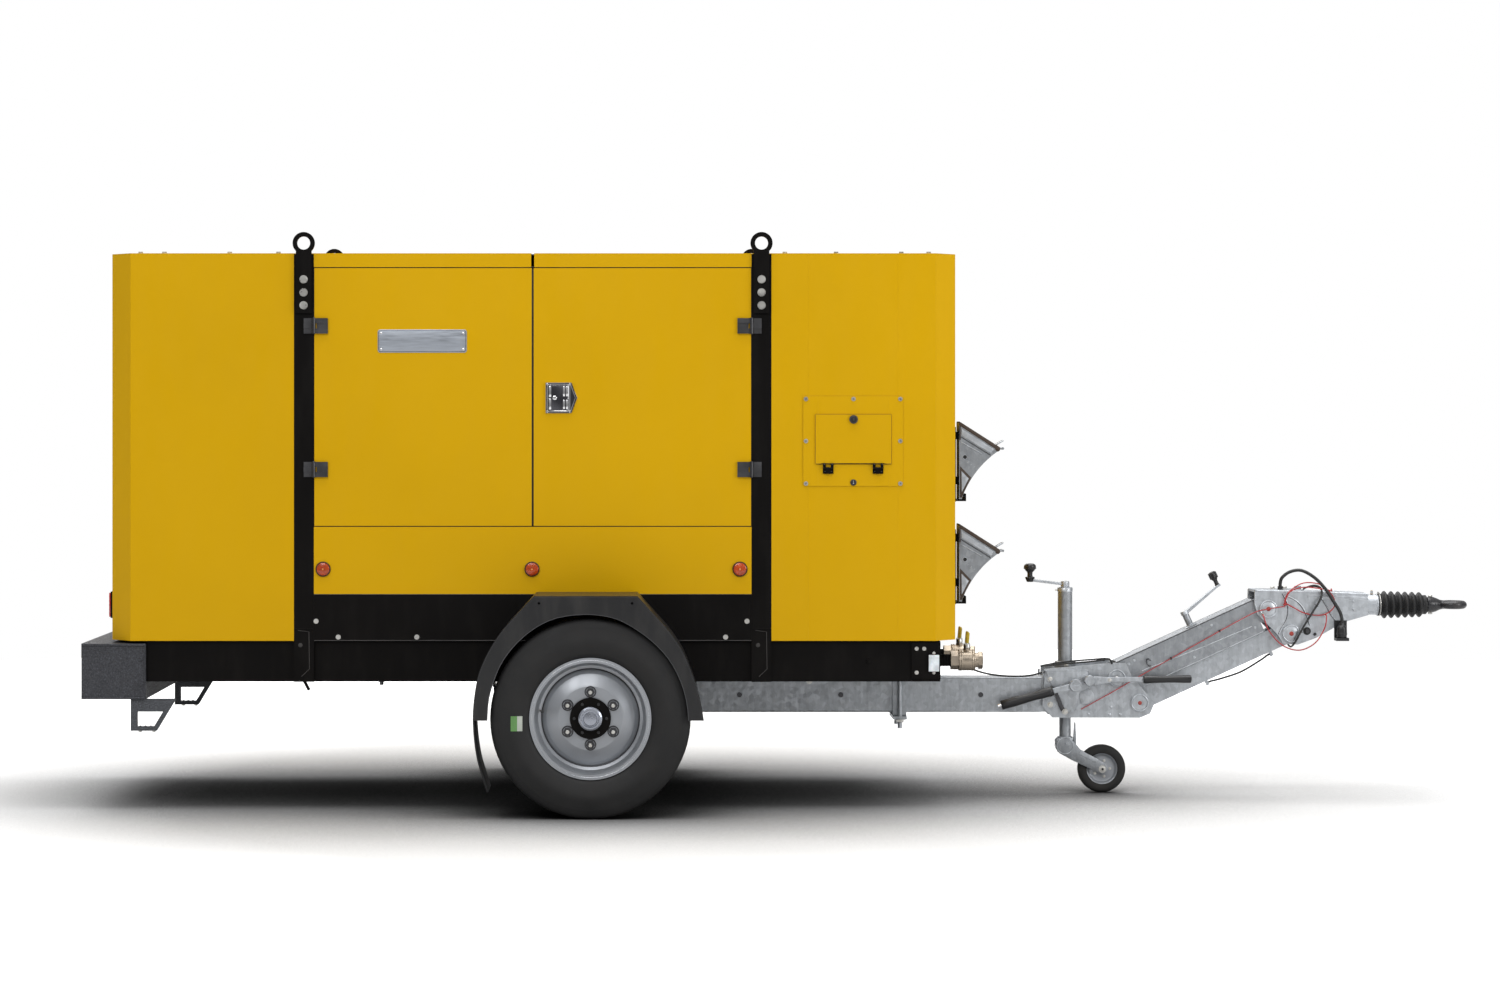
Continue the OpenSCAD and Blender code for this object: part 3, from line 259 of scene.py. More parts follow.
YELLOW = paint("yellow_enamel", (0.575, 0.325, 0.0004), 0.38, variation=0.03, coat=0.03, gloss=0.12)
BLACK = paint("black_enamel", (0.0042, 0.0036, 0.0034), 0.45, variation=0.25, coat=0.0, gloss=0.07, dust=0.01)
# A darker copy of the yellow enamel for seam lines: painted shade in the gaps
SEAM_SHADE_YELLOW = paint("seam_shade_yellow", (0.16, 0.085, 0.002), 0.5)
# Lighter grey than the guard enamel: a painted highlight along the guards' rolled edges
GUARD_EDGE_HIGHLIGHT = paint("guard_edge_highlight", (0.055, 0.056, 0.060), 0.36, variation=0.2, coat=0.1, gloss=0.4)
GUARD_BLACK = paint("guard_enamel", (0.012, 0.012, 0.013), 0.34, variation=0.2, coat=0.1, gloss=0.35,
                    dust=0.04)
RIM_PAINT = paint("rim_silver", (0.31, 0.325, 0.35), 0.34, variation=0.05, coat=0.3, metallic=0.55)
RED_PAINT = paint("red_marking", (0.30, 0.045, 0.035), 0.5)
EYE_BLACK = paint("eye_enamel", (0.014, 0.014, 0.016), 0.33, variation=0.3, coat=0.2, dust=0.08)
WELD_GREY = paint("weld_grey", (0.045, 0.042, 0.040), 0.5, variation=0.4)
ENGINE = paint("engine_paint", (0.035, 0.075, 0.06), 0.45, variation=0.15, dust=0.25)
ALTERNATOR = paint("alternator_paint", (0.03, 0.07, 0.19), 0.42, variation=0.1, dust=0.2)
BUMPER = textured_paint("bumper_coating", (0.036, 0.038, 0.046))
STEP_GREY = textured_paint("step_coating", (0.065, 0.070, 0.080))
ZINC = galvanised("galvanised_steel", 0.50, 0.31)
ZINC_PALE = galvanised("galvanised_steel_pale", 0.52, 0.36)
ZINC_DARK = galvanised("galvanised_steel_dark", 0.36, 0.24)
BOLT = metal("zinc_plated_bolts", (0.62, 0.61, 0.58), 0.32)
CHROME = metal("chrome_plate", (0.80, 0.80, 0.81), 0.10, grain=900.0, grain_depth=0.00001, tint=0.03)
LATCH_SHADE = metal("latch_shade", (0.09, 0.09, 0.10), 0.22, grain=900.0, grain_depth=0.00001)
PLATE_METAL = metal("plate_metal", (0.42, 0.45, 0.50), 0.42, grain=500.0, stretch=(1, 1, 12))
STEEL_DARK = metal("hinge_steel", (0.085, 0.085, 0.09), 0.38)
RIM_HIGHLIGHT = metal("rim_edge_highlight", (0.62, 0.64, 0.67), 0.25)
# Lighter metal than the rim paint: a painted highlight on the bead
HUB_CAP = metal("hub_cap", (0.34, 0.36, 0.41), 0.24)
# Dark metal for nuts and rings that stand in for the shade of holes and grooves in the rim: painted shade
NUT_PAINTED_SHADE = metal("nut_shade", (0.075, 0.075, 0.080), 0.40)
BRASS = metal("nickel_brass", (0.40, 0.34, 0.27), 0.36)
ALLOY = metal("radiator_alloy", (0.30, 0.31, 0.32), 0.5)
EXHAUST = metal("exhaust_steel", (0.30, 0.26, 0.22), 0.5, tint=0.3)
TYRE = rubber("tyre_rubber", (0.0125, 0.0125, 0.013), 0.62, 0.35, (0.035, 0.033, 0.032))
TREAD = rubber("tread_rubber", (0.018, 0.018, 0.018), 0.8, 0.5, (0.06, 0.055, 0.05))
RUBBER = rubber("black_rubber", (0.010, 0.010, 0.0105), 0.5, 0.2, (0.04, 0.04, 0.04))
CHOCK_EDGE = rubber("chock_edge", (0.045, 0.030, 0.022), 0.6, 0.3, (0.12, 0.10, 0.08))
LAMP_RIM = rubber("lamp_rim", (0.045, 0.018, 0.012), 0.5, 0.1)
CABLE = plastic("cable_sheath", (0.010, 0.010, 0.010), 0.42)
RED_WIRE = plastic("red_sheath", (0.34, 0.020, 0.022), 0.42)
GRIP = plastic("black_grip", (0.011, 0.011, 0.012), 0.38)
TANK = plastic("tank_plastic", (0.014, 0.014, 0.015), 0.5, 260.0, 0.0003)
FAN = plastic("fan_plastic", (0.60, 0.17, 0.012), 0.45)
CABINET = plastic("cabinet_plastic", (0.46, 0.46, 0.43), 0.5)
SOCKET = plastic("socket_plastic", (0.02, 0.06, 0.32), 0.35)
LEVER_YELLOW = plastic("lever_sleeve", (0.42, 0.30, 0.012), 0.45)
SCREEN = plastic("display_glass", (0.02, 0.05, 0.045), 0.2)
LABEL_PALE = plastic("label_pale", (0.40, 0.43, 0.38), 0.5)
LABEL_GREEN = plastic("label_green", (0.10, 0.24, 0.07), 0.5)
AMBER = lens("amber_lens", (0.44, 0.052, 0.0015))
AMBER_CORE = lens("amber_core", (0.90, 0.40, 0.12))
CLEAR = lens("clear_lens", (0.72, 0.74, 0.76))
RED_LENS = lens("red_lens", (0.48, 0.010, 0.008))
FOAM = foam("sound_foam", (0.030, 0.030, 0.032))


# ---- Mesh tools ----

class Piece:
    """Collects the solids of one piece in the row frame, each with its own material."""

    def __init__(self, name, body):
        self.name = name
        self.body = body
        self.mesh = bmesh.new()
        self.materials = []

    def index(self, material):
        if material not in self.materials:
            self.materials.append(material)
        return self.materials.index(material)

    def solid(self, verts, faces, material, bevel=0.0):
        """Adds a closed solid, with its edges rounded by bevel."""
        part = bmesh.new()
        points = [part.verts.new(v) for v in verts]
        for f in faces:
            part.faces.new([points[i] for i in f])
        bmesh.ops.recalc_face_normals(part, faces=part.faces)
        if bevel:
            sharp = [e for e in part.edges if e.calc_face_angle(0) > radians(28)]
            bmesh.ops.bevel(part, geom=sharp, offset=bevel, segments=2, affect="EDGES", profile=0.5,
                            clamp_overlap=True)
        slot = self.index(material)
        for f in part.faces:
            f.material_index = slot
        keep = bpy.data.meshes.new("part")
        part.to_mesh(keep)
        part.free()
        self.mesh.from_mesh(keep)
        bpy.data.meshes.remove(keep)

    def box(self, a, b, material, bevel=0.001, turn=None):
        """Block between two opposite corners; turn is (axis, degrees) about its centre."""
        low, high = zip(*(sorted(pair) for pair in zip(a, b)))
        corners = [Vector((x, y, z)) for z in (low[2], high[2]) for y in (low[1], high[1])
                   for x in (low[0], high[0])]
        if turn:
            middle = (Vector(low) + Vector(high)) / 2
            spin = Matrix.Rotation(radians(turn[1]), 3, turn[0])
            corners = [middle + spin @ (c - middle) for c in corners]
        self.solid(corners, [(0, 2, 3, 1), (4, 5, 7, 6), (0, 1, 5, 4), (2, 6, 7, 3), (0, 4, 6, 2),
                             (1, 3, 7, 5)],
                   material, bevel)

    def plate(self, outline, y0, y1, material, bevel=0.001):
        """Plate with an outline in X and Z between two Y planes."""
        n = len(outline)
        verts = at_y(outline, min(y0, y1)) + at_y(outline, max(y0, y1))
        faces = [list(range(n)), list(range(2 * n - 1, n - 1, -1))]
        faces += [(i, (i + 1) % n, n + (i + 1) % n, n + i) for i in range(n)]
        self.solid(verts, faces, material, bevel)

    def lathe(self, profile, origin, axis, material, segments=32, closed=False):
        """Turned solid; profile is (radius, place along axis). closed makes it a ring."""
        axis = Vector(axis).normalized()
        side = axis.orthogonal()
        side = (side - axis * side.dot(axis)).normalized()
        other = axis.cross(side)
        origin = Vector(origin)
        verts, rings = [], []
        for r, t in profile:
            if r < 1e-7:
                rings.append([len(verts)] * segments)
                verts.append(origin + axis * t)
                continue
            rings.append(list(range(len(verts), len(verts) + segments)))
            verts += [origin + axis * t + across * side + up * other for across, up in circle(segments, r)]
        faces = []
        for i in range(len(rings) if closed else len(rings) - 1):
            low, high = rings[i], rings[(i + 1) % len(rings)]
            for k in range(segments):
                j = (k + 1) % segments
                corners = list(dict.fromkeys((low[k], low[j], high[j], high[k])))
                if len(corners) > 2:
                    faces.append(corners)
        if not closed:
            faces += [ring for ring in (rings[0], rings[-1]) if len(set(ring)) > 1]
        self.solid(verts, faces, material)

    def cap(self, base, axis, rows, material, segments=24, top=None):
        """Turned solid that stands on base; its rows of (radius, height) are closed to the axis."""
        ends = (0, rows[0][1]), (0, rows[-1][1] if top is None else top)
        self.lathe([ends[0], *rows, ends[1]], base, axis, material, segments)

    def disc(self, base, axis, r, h, material, segments=24):
        self.cap(base, axis, [(r, 0), (r, h)], material, segments)

    def rod(self, a, b, r, material, segments=24, round_off=0.0):
        """Round bar from a to b, its ends rounded off."""
        a, b = Vector(a), Vector(b)
        length = (b - a).length
        e = min(round_off, r * 0.9, length * 0.45)
        profile = [(0, 0), (r, 0), (r, length), (0, length)]
        if e:
            turn = [pi / 2 * k / 4 for k in range(5)]
            profile = [(0, 0)] + [(r - e + e * sin(t), e - e * cos(t)) for t in turn]
            profile += [(r - e + e * cos(t), length - e + e * sin(t)) for t in turn] + [(0, length)]
        self.lathe(profile, a, b - a, material, segments)

    def bolt(self, center, axis, r, h, material=BOLT, washer=1.35):
        """Hexagon head with a chamfered top on a washer."""
        axis = Vector(axis).normalized()
        center = Vector(center)
        if washer:
            self.disc(center, axis, r * washer, h * 0.18, material)
        self.cap(center + axis * h * 0.15, axis, [(r, 0), (r, h * 0.72), (r * 0.86, h * 0.85)], material, 6)

    def ring(self, center, axis, major, minor, material, segments=40, sides=8):
        profile = [(major + out, up) for out, up in circle(sides, minor)]
        self.lathe(profile, center, axis, material, segments, True)

    def tube(self, points, r, material, sides=8, closed=False):
        """Bent round bar through the points."""
        points = [Vector(p) for p in points]
        n = len(points)
        verts, last = [], None
        for i, p in enumerate(points):
            before = points[i - 1] if closed or i else p
            after = points[(i + 1) % n] if closed or i < n - 1 else p
            way = (after - before).normalized()
            last = way.orthogonal() if last is None else last
            last = (last - way * last.dot(way)).normalized()
            other = way.cross(last)
            verts += [p + across * last + up * other for across, up in circle(sides, r)]
        faces = []
        for i in range(n if closed else n - 1):
            a, b = i * sides, (i + 1) % n * sides
            faces += [(a + k, a + (k + 1) % sides, b + (k + 1) % sides, b + k) for k in range(sides)]
        if not closed:
            faces += [list(range(sides)), list(range((n - 1) * sides, n * sides))]
        self.solid(verts, faces, material)

    def hose(self, route, r, material, sides=8, steps=6):
        """Tube along a smooth route."""
        self.tube(spline(route, steps), r, material, sides)

    def done(self, replaces=(), smooth=40, blend=None):
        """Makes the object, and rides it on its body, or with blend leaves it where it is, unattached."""
        data = bpy.data.meshes.new(self.name)
        self.mesh.to_mesh(data)
        self.mesh.free()
        for m in self.materials:
            data.materials.append(m)
        for p in data.polygons:
            p.use_smooth = True
        data.set_sharp_from_angle(angle=radians(smooth))
        obj = place(bpy.data.objects.new(self.name, data))
        if blend:
            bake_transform(obj)
        else:
            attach(obj, self.body)
        if replaces:
            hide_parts(*replaces)
        return obj


def place(obj):
    bpy.context.scene.collection.objects.link(obj)
    return obj


def at_y(outline, y):
    return [(x, y, z) for x, z in outline]


def circle(count, radius=1.0, first=0.0):
    """Points (across, up) evenly round a circle."""
    turns = [first + 2 * pi * k / count for k in range(count)]
    return [(radius * cos(a), radius * sin(a)) for a in turns]


def arc(center, radius, start, end, count):
    """Points on an arc, angles in degrees."""
    turns = [radians(start + (end - start) * k / count) for k in range(count + 1)]
    return [(center[0] + radius * cos(a), center[1] + radius * sin(a)) for a in turns]


def rounded(low, high, r, count=3):
    """Rounded rectangle outline from its low and high corner."""
    points = []
    for cx, cz, a in ((high[0] - r, low[1] + r, -90), (high[0] - r, high[1] - r, 0),
                      (low[0] + r, high[1] - r, 90), (low[0] + r, low[1] + r, 180)):
        points += arc((cx, cz), r, a, a + 90, count)
    return points


def spline(points, steps):
    """Smooth route through the points, as the CAD routes are drawn."""
    points = [Vector(p) for p in points]
    out = []
    for i in range(len(points) - 1):
        a, b = points[max(i - 1, 0)], points[i]
        c, d = points[i + 1], points[min(i + 2, len(points) - 1)]
        for k in range(steps):
            t = k / steps
            out.append(0.5 * (2 * b + (c - a) * t + (2 * a - 5 * b + 4 * c - d) * t * t
                              + (3 * b - a - 3 * c + d) * t ** 3))
    return out + [points[-1]]


def flat_spline(points, steps):
    return [(p.x, p.z) for p in spline(at_y(points, 0), steps)]


def finish_node(name, material, *rules):
    """Gives a CAD node its material; rules repaint the faces whose centre passes a test."""
    data = nodes[name].data
    data.materials.clear()
    data.materials.append(material)
    for index, (test, other) in enumerate(rules, 1):
        data.materials.append(other)
        for p in data.polygons:
            if test(p.center):
                p.material_index = index


def soften(name, width):
    """Rounds the sharp edges of a CAD node where it is shown."""
    b = nodes[name].modifiers.new("edges", "BEVEL")
    b.width = width
    b.segments = 2
    b.limit_method = "ANGLE"
    b.angle_limit = radians(40)
    b.use_clamp_overlap = True


# ---- Camera, lights and floor ----

def make_camera():
    """Level shot of the near side from ahead of the middle of the canopy."""
    data = bpy.data.cameras.new("camera")
    data.sensor_width = 36
    data.lens = 80.1
    data.shift_x = 0.0671
    data.shift_y = -0.0519
    data.clip_end = 300
    cam = place(bpy.data.objects.new("camera", data))
    cam.location = (-0.573, -13.9, 1.541)
    cam.rotation_euler = (radians(90), 0, 0)
    bpy.context.scene.camera = cam


def area_light(name, spot, target, size, power):
    data = bpy.data.lights.new(name, "AREA")
    data.shape = "RECTANGLE"
    data.size, data.size_y = size
    data.energy = power
    light = place(bpy.data.objects.new(name, data))
    light.location = spot
    light.rotation_euler = (Vector(target) - Vector(spot)).to_track_quat("-Z", "Y").to_euler()


def make_world():
    """White to the camera, and a soft sky that is brighter overhead to everything else."""
    world = bpy.data.worlds.new("studio")
    bpy.context.scene.world = world
    world.use_nodes = True
    tree = world.node_tree
    camera_ray = add(tree, "LightPath", "Is Camera Ray")
    climb = split_xyz(tree, add(tree, "TexCoord", "Generated"))["Z"]
    others = math_node(tree, "MULTIPLY", spread(tree, climb, 0.0, 0.7, 0.26, 0.66),
                       math_node(tree, "SUBTRACT", 1.0, camera_ray))
    background = tree.nodes["Background"]
    put(tree, background.inputs["Color"], (1, 1, 1))
    put(tree, background.inputs["Strength"], math_node(tree, "ADD", camera_ray, others))
    bpy.context.scene.view_settings.view_transform = "Standard"


def make_floor(radius=9.0):
    """Pale disc with a contact shadow; away from the object it brightens until it meets the white world."""
    m, tree, shader = new_material("studio_floor", (0.62, 0.62, 0.62), 0.6, Specular_IOR_Level=0.0,
                                   Emission_Color=(1, 1, 1))
    spot = object_coords(tree)
    shade = tree.nodes.new("ShaderNodeAmbientOcclusion")
    shade.inputs["Distance"].default_value = 1.6
    shade.samples = 8
    pale = ramp(tree, noise(tree, spot, 2.0, 2), [(0.3, (0.61, 0.61, 0.61)), (0.7, (0.63, 0.63, 0.63))])
    contact = math_node(tree, "POWER", shade.outputs["AO"], 2.2)
    put(tree, shader.inputs["Base Color"], mix_color(tree, contact, (0.012, 0.012, 0.012), pale))
    axes = split_xyz(tree, spot)
    squares = [math_node(tree, "POWER", axes[name], 2.0) for name in "XY"]
    away = math_node(tree, "SQRT", math_node(tree, "ADD", *squares))
    put(tree, shader.inputs["Emission Strength"],
        math_node(tree, "MULTIPLY", add(tree, "LightPath", "Is Camera Ray"),
                  spread(tree, away, 2.6, 6.5, 0, 1.0)))
    data = bpy.data.meshes.new("studio_floor")
    data.from_pydata([(x, y, 0) for x, y in circle(96, radius)], [], [list(range(96))])
    data.materials.append(m)
    place(bpy.data.objects.new("studio_floor", data))


make_camera()
make_world()
area_light("key", (-3.0, -9.0, 7.5), (-0.6, 0, 1.0), (8, 4), 360)
area_light("front_fill", (8.5, -6.0, 3.6), (0.7, -0.4, 1.2), (4, 4), 330)
area_light("top", (0.0, 0.5, 8.5), (0, 0, 0), (11, 8), 1100)
area_light("back", (-2.0, 9.0, 6.0), (-0.5, 0, 1.0), (7, 4), 260)
make_floor()


# ---- CAD nodes ----

SIDES = (("right", -1), ("left", 1))
WHEEL_Y = 0.8625
AXLE = (-0.802, 0.39)
PLAIN_NODES = (
    (YELLOW, "rear_canopy front_canopy roof_panels lower_panels valve_lever_outer valve_lever_inner"),
    (BLACK, "frame_rails axle_beam skirt_panels lifting_lugs chock_holders tow_eye"),
    (GUARD_BLACK, "mudguards"),
    (RUBBER, "mud_flaps jockey_wheel bellows"),
    (TYRE, "tyre_right tyre_left"),
    (BOLT, "fasteners"),
    (ZINC, "drawbar_beam drawbar_head lower_link"),
    (ZINC_DARK, "jack_tube upper_link jack_inner jockey_fork chock_upper chock_lower"),
    (GRIP, "brake_lever clamp_lever jack_crank link_crank plug"),
    (CHROME, "latch_right latch_left brake_button"),
    (ALTERNATOR, "alternator"),
    (FAN, "fan"),
    (EXHAUST, "silencer"),
    (TANK, "fuel_tank"))
SOFT_NODES = (
    (0.003, "rear_canopy front_canopy"),
    (0.0012, "roof_panels lower_panels"),
    (0.0018, "drawbar_beam drawbar_head jack_tube upper_link lower_link hitch_head"))


def finish_rims():
    def reach(c):
        return sqrt((c[0] - AXLE[0]) ** 2 + (c[2] - AXLE[1]) ** 2)

    def out(c):
        return abs(c[1]) - WHEEL_Y

    for side, _ in SIDES:
        finish_node("rim_" + side, RIM_PAINT,
                    (lambda c: reach(c) < 0.081 and out(c) > 0.0655, BLACK),
                    (lambda c: reach(c) < 0.0465 and out(c) > 0.0785, HUB_CAP),
                    # Nuts darkened as painted shade of the stud holes
                    (lambda c: 0.083 < reach(c) < 0.121 and out(c) > 0.0665, NUT_PAINTED_SHADE))


def finish_cad_nodes():
    for material, names in PLAIN_NODES:
        for name in names.split():
            finish_node(name, material)
    for width, names in SOFT_NODES:
        for name in names.split():
            soften(name, width)
    finish_rims()
    for side, _ in SIDES:
        for end in ("rear", "front"):
            finish_node(f"door_{side}_{end}", YELLOW,
                        (lambda c: abs(c[1]) > 0.6402 and min(abs(c[0] + 1.906), abs(c[0] + 0.167)) < 0.058,
                         STEEL_DARK),
                        (lambda c: abs(c[1]) > 0.6402 and -0.99 < c[0] < -0.86, CHROME))
    finish_node("posts", BLACK, (lambda c: abs(c[1]) > 0.6402 and c[2] > 1.2, STEEL_DARK))
    finish_node("rear_bumper", BUMPER, (lambda c: c[2] < 0.4402, STEP_GREY))
    finish_node("service_panel", YELLOW,
                (lambda c: c[1] > -0.6395, CABINET),
                (lambda c: -0.62 < c[1] < -0.5805 and 1.38 < c[2] < 1.57, SOCKET),
                (lambda c: c[2] < 1.364 and c[1] < -0.6435, BLACK))
    finish_node("service_flap", YELLOW,
                (lambda c: c[2] < 1.3785, BLACK),
                (lambda c: c[1] < -0.6470 and c[2] > 1.5, STEEL_DARK))
    finish_node("lamps", AMBER, (lambda c: c[0] > 0.4, CLEAR), (lambda c: c[0] < -2.6, RED_LENS))
    finish_node("valve_bodies", BRASS, (lambda c: c[0] < 0.6405, BLACK))
    finish_node("hitch_head", ZINC_PALE,
                (lambda c: c[1] < -0.0803 and 2.255 < c[0] < 2.32 and c[2] < 0.73, GRIP),
                (lambda c: c[2] > 0.8462 and abs(c[0] - 2.047) < 0.02, GRIP),
                (lambda c: c[1] < -0.0803 and abs(c[2] - 0.745) < 0.009
                    and min(abs(c[0] - 1.965), abs(c[0] - 2.225)) < 0.009, BOLT))
    finish_node("engine", ENGINE, (lambda c: c[2] > 1.3, TANK))
    finish_node("radiator", BLACK, (lambda c: c[2] > 0.78, ALLOY))
    finish_node("electrics", CABINET, (lambda c: c[2] < 0.9 and c[1] < 0, GRIP))


finish_cad_nodes()


# ---- Wheels ----

SIDEWALL = [(0.2236, 0.0822), (0.236, 0.09), (0.242, 0.096), (0.262, 0.1075), (0.3, 0.117), (0.338, 0.113),
            (0.362, 0.108), (0.375, 0.1035), (0.3825, 0.0985), (0.387, 0.093)]
WALL_RIDGES = (0.252, 0.33, 0.356)
GROOVES = (0.062, 0.026, -0.026, -0.062)


def sidewall_at(r):
    for (r0, t0), (r1, t1) in zip(SIDEWALL, SIDEWALL[1:]):
        if r0 <= r <= r1:
            return t0 + (t1 - t0) * (r - r0) / (r1 - r0)
    return SIDEWALL[-1][1]


def tyre_section(pitch):
    """Radius and place across the tyre at one step round it; pitch counts the steps."""
    wall = []
    for r, t in flat_spline(SIDEWALL, 6):
        ridge = 0.0005 if any(abs(r - k) < 0.0022 for k in WALL_RIDGES) else 0
        wall.append((r, t - 0.0006 + ridge))
    shift = 0.0022 if pitch // 2 % 2 else -0.0022
    notch = 0.007 if pitch % 4 == 0 else 0
    tread = [(0.3885 - notch, 0.087), (0.3892 - notch, 0.07)]
    for groove in GROOVES:
        g = groove + shift
        tread += [(0.3896, g + 0.0052), (0.38, g + 0.0036), (0.38, g - 0.0036), (0.3896, g - 0.0052)]
        if abs(g) < 0.05:
            tread.append((0.3898, g - 0.012))
    tread += [(0.3892 - notch, -0.07), (0.3885 - notch, -0.087)]
    return wall + tread + [(r, -t) for r, t in reversed(wall)] + [(0.2236, -0.07), (0.2236, 0.07)]


def make_tyre(side, sign, steps=288):
    """One closed section swept round the wheel; its tread band gets the tread rubber."""
    piece = Piece("tyre_" + side + "_tread", "wheel_" + side)
    verts, faces = [], []
    for k in range(steps):
        a = 2 * pi * k / steps
        row = tyre_section(k)
        n = len(row)
        verts += [(AXLE[0] + r * cos(a), sign * WHEEL_Y + t, AXLE[1] + r * sin(a)) for r, t in row]
        a, b = k * n, (k + 1) % steps * n
        faces += [(a + i, a + (i + 1) % n, b + (i + 1) % n, b + i) for i in range(n)]
    piece.solid(verts, faces, TYRE)
    tread_slot = piece.index(TREAD)
    for f in piece.mesh.faces:
        c = f.calc_center_median()
        if sqrt((c.x - AXLE[0]) ** 2 + (c.z - AXLE[1]) ** 2) > 0.3765 and abs(abs(c.y) - WHEEL_Y) < 0.088:
            f.material_index = tread_slot
    piece.done(["tyre_" + side])


def make_wheel_details(side, sign):
    """Valve stem, balance weight, studs in dark rings that are painted shade of their sockets, hub cap, a
    dark ring on the dish that is painted shadow in its groove, and a bright ring on the bead that is a
    painted highlight.
    """
    piece = Piece("wheel_details_" + side, "wheel_" + side)
    out = (0, sign, 0)

    def on_wheel(r, angle, away):
        x, z = arc(AXLE, r, angle, angle, 1)[0]
        return Vector((x, sign * (WHEEL_Y + away), z))

    piece.rod(on_wheel(0.196, 172, 0.034), on_wheel(0.19, 172, 0.078), 0.004, BRASS, 14, 0.001)
    piece.rod(on_wheel(0.19, 172, 0.076), on_wheel(0.189, 172, 0.092), 0.0055, GRIP, 14, 0.002)
    weight, half = on_wheel(0.222, 40, 0.088), Vector((0.012, 0.004, 0.004))
    piece.box(weight - half, weight + half, BOLT, 0.0015, ("Y", 50))
    for angle in range(0, 360, 60):
        piece.rod(on_wheel(0.1025, angle + 90, 0.088), on_wheel(0.1025, angle + 90, 0.1005), 0.0075, BOLT, 16,
                  0.002)
        # Dark ring round each stud: painted shade of its socket
        piece.lathe([(0.018, 0), (0.0235, 0), (0.0225, 0.0012), (0.018, 0.0014)],
                    on_wheel(0.1025, angle + 90, 0.0655), out, NUT_PAINTED_SHADE, 28, True)
        piece.rod(on_wheel(0.063, angle, 0.076), on_wheel(0.063, angle, 0.0815), 0.006, GRIP, 12, 0.001)
    piece.cap(on_wheel(0, 0, 0.0915), out,
              [(0.044, 0), (0.0455, 0.002), (0.0455, 0.007), (0.04, 0.0105), (0.034, 0.0105),
               (0.0325, 0.0075), (0.027, 0.0072), (0.025, 0.01), (0.012, 0.0112)], HUB_CAP, 56, 0.0113)
    # Dark ring on the dish: painted shadow in its groove
    piece.ring(on_wheel(0, 0, 0.0362), Y, 0.19, 0.0022, NUT_PAINTED_SHADE, 96)
    # Bright ring on the bead: painted highlight
    piece.ring(on_wheel(0, 0, 0.095), Y, 0.2275, 0.0022, RIM_HIGHLIGHT, 112)
    piece.done(smooth=32)


def make_sticker(cols=3, rows=6):
    """Blank stock label that follows the sidewall of the near tyre."""
    piece = Piece("tyre_sticker", "wheel_right")
    for x0, x1, material in ((-0.308, -0.283, LABEL_GREEN), (-0.283, -0.263, LABEL_PALE)):
        verts, faces = [], []
        for layer in (0.0002, 0.0009):
            for i in range(rows + 1):
                z = 0.344 + 0.058 * i / rows
                for j in range(cols + 1):
                    x = x0 + (x1 - x0) * j / cols
                    r = sqrt(x ** 2 + (z - AXLE[1]) ** 2)
                    verts.append((AXLE[0] + x, -WHEEL_Y - sidewall_at(r) - layer, z))
        step = cols + 1
        size = (rows + 1) * step
        for i in range(rows):
            for j in range(cols):
                a = i * step + j
                quad = (a, a + 1, a + step + 1, a + step)
                faces += [quad, tuple(v + size for v in reversed(quad))]
        edge = list(range(step)) + [i * step + cols for i in range(1, rows + 1)]
        edge += [rows * step + j for j in range(cols - 1, -1, -1)]
        edge += [i * step for i in range(rows - 1, 0, -1)]
        faces += [(a, b, b + size, a + size) for a, b in zip(edge, edge[1:] + edge[:1])]
        piece.solid(verts, faces, material)
    piece.done(smooth=32)


for wheel_side, wheel_sign in SIDES:
    make_tyre(wheel_side, wheel_sign)
    make_wheel_details(wheel_side, wheel_sign)
make_sticker()


# ---- Mudguards and flaps ----

GUARD_REAR = [(-1.2565, 0.386), (-1.253, 0.457), (-1.237, 0.554), (-1.204, 0.637), (-1.158, 0.713),
              (-1.102, 0.78), (-1.02, 0.868)]
GUARD_FRONT = [(-0.619, 0.868), (-0.563, 0.806), (-0.494, 0.728), (-0.439, 0.644), (-0.398, 0.54),
               (-0.374, 0.457), (-0.362, 0.386)]
GUARD_INNER = [(-0.42, 0.386), (-0.427, 0.457), (-0.451, 0.54), (-0.499, 0.628), (-0.568, 0.7),
               (-0.651, 0.7575), (-0.722, 0.787), (-0.819, 0.7985), (-0.93, 0.785), (-1.0126, 0.748),
               (-1.082, 0.692), (-1.137, 0.625), (-1.1716, 0.554), (-1.196, 0.47), (-1.203, 0.386)]
FLAP_ROUTE = [(-1.257, 0.384), (-1.254, 0.33), (-1.247, 0.27), (-1.236, 0.215), (-1.219, 0.16),
              (-1.203, 0.108)]


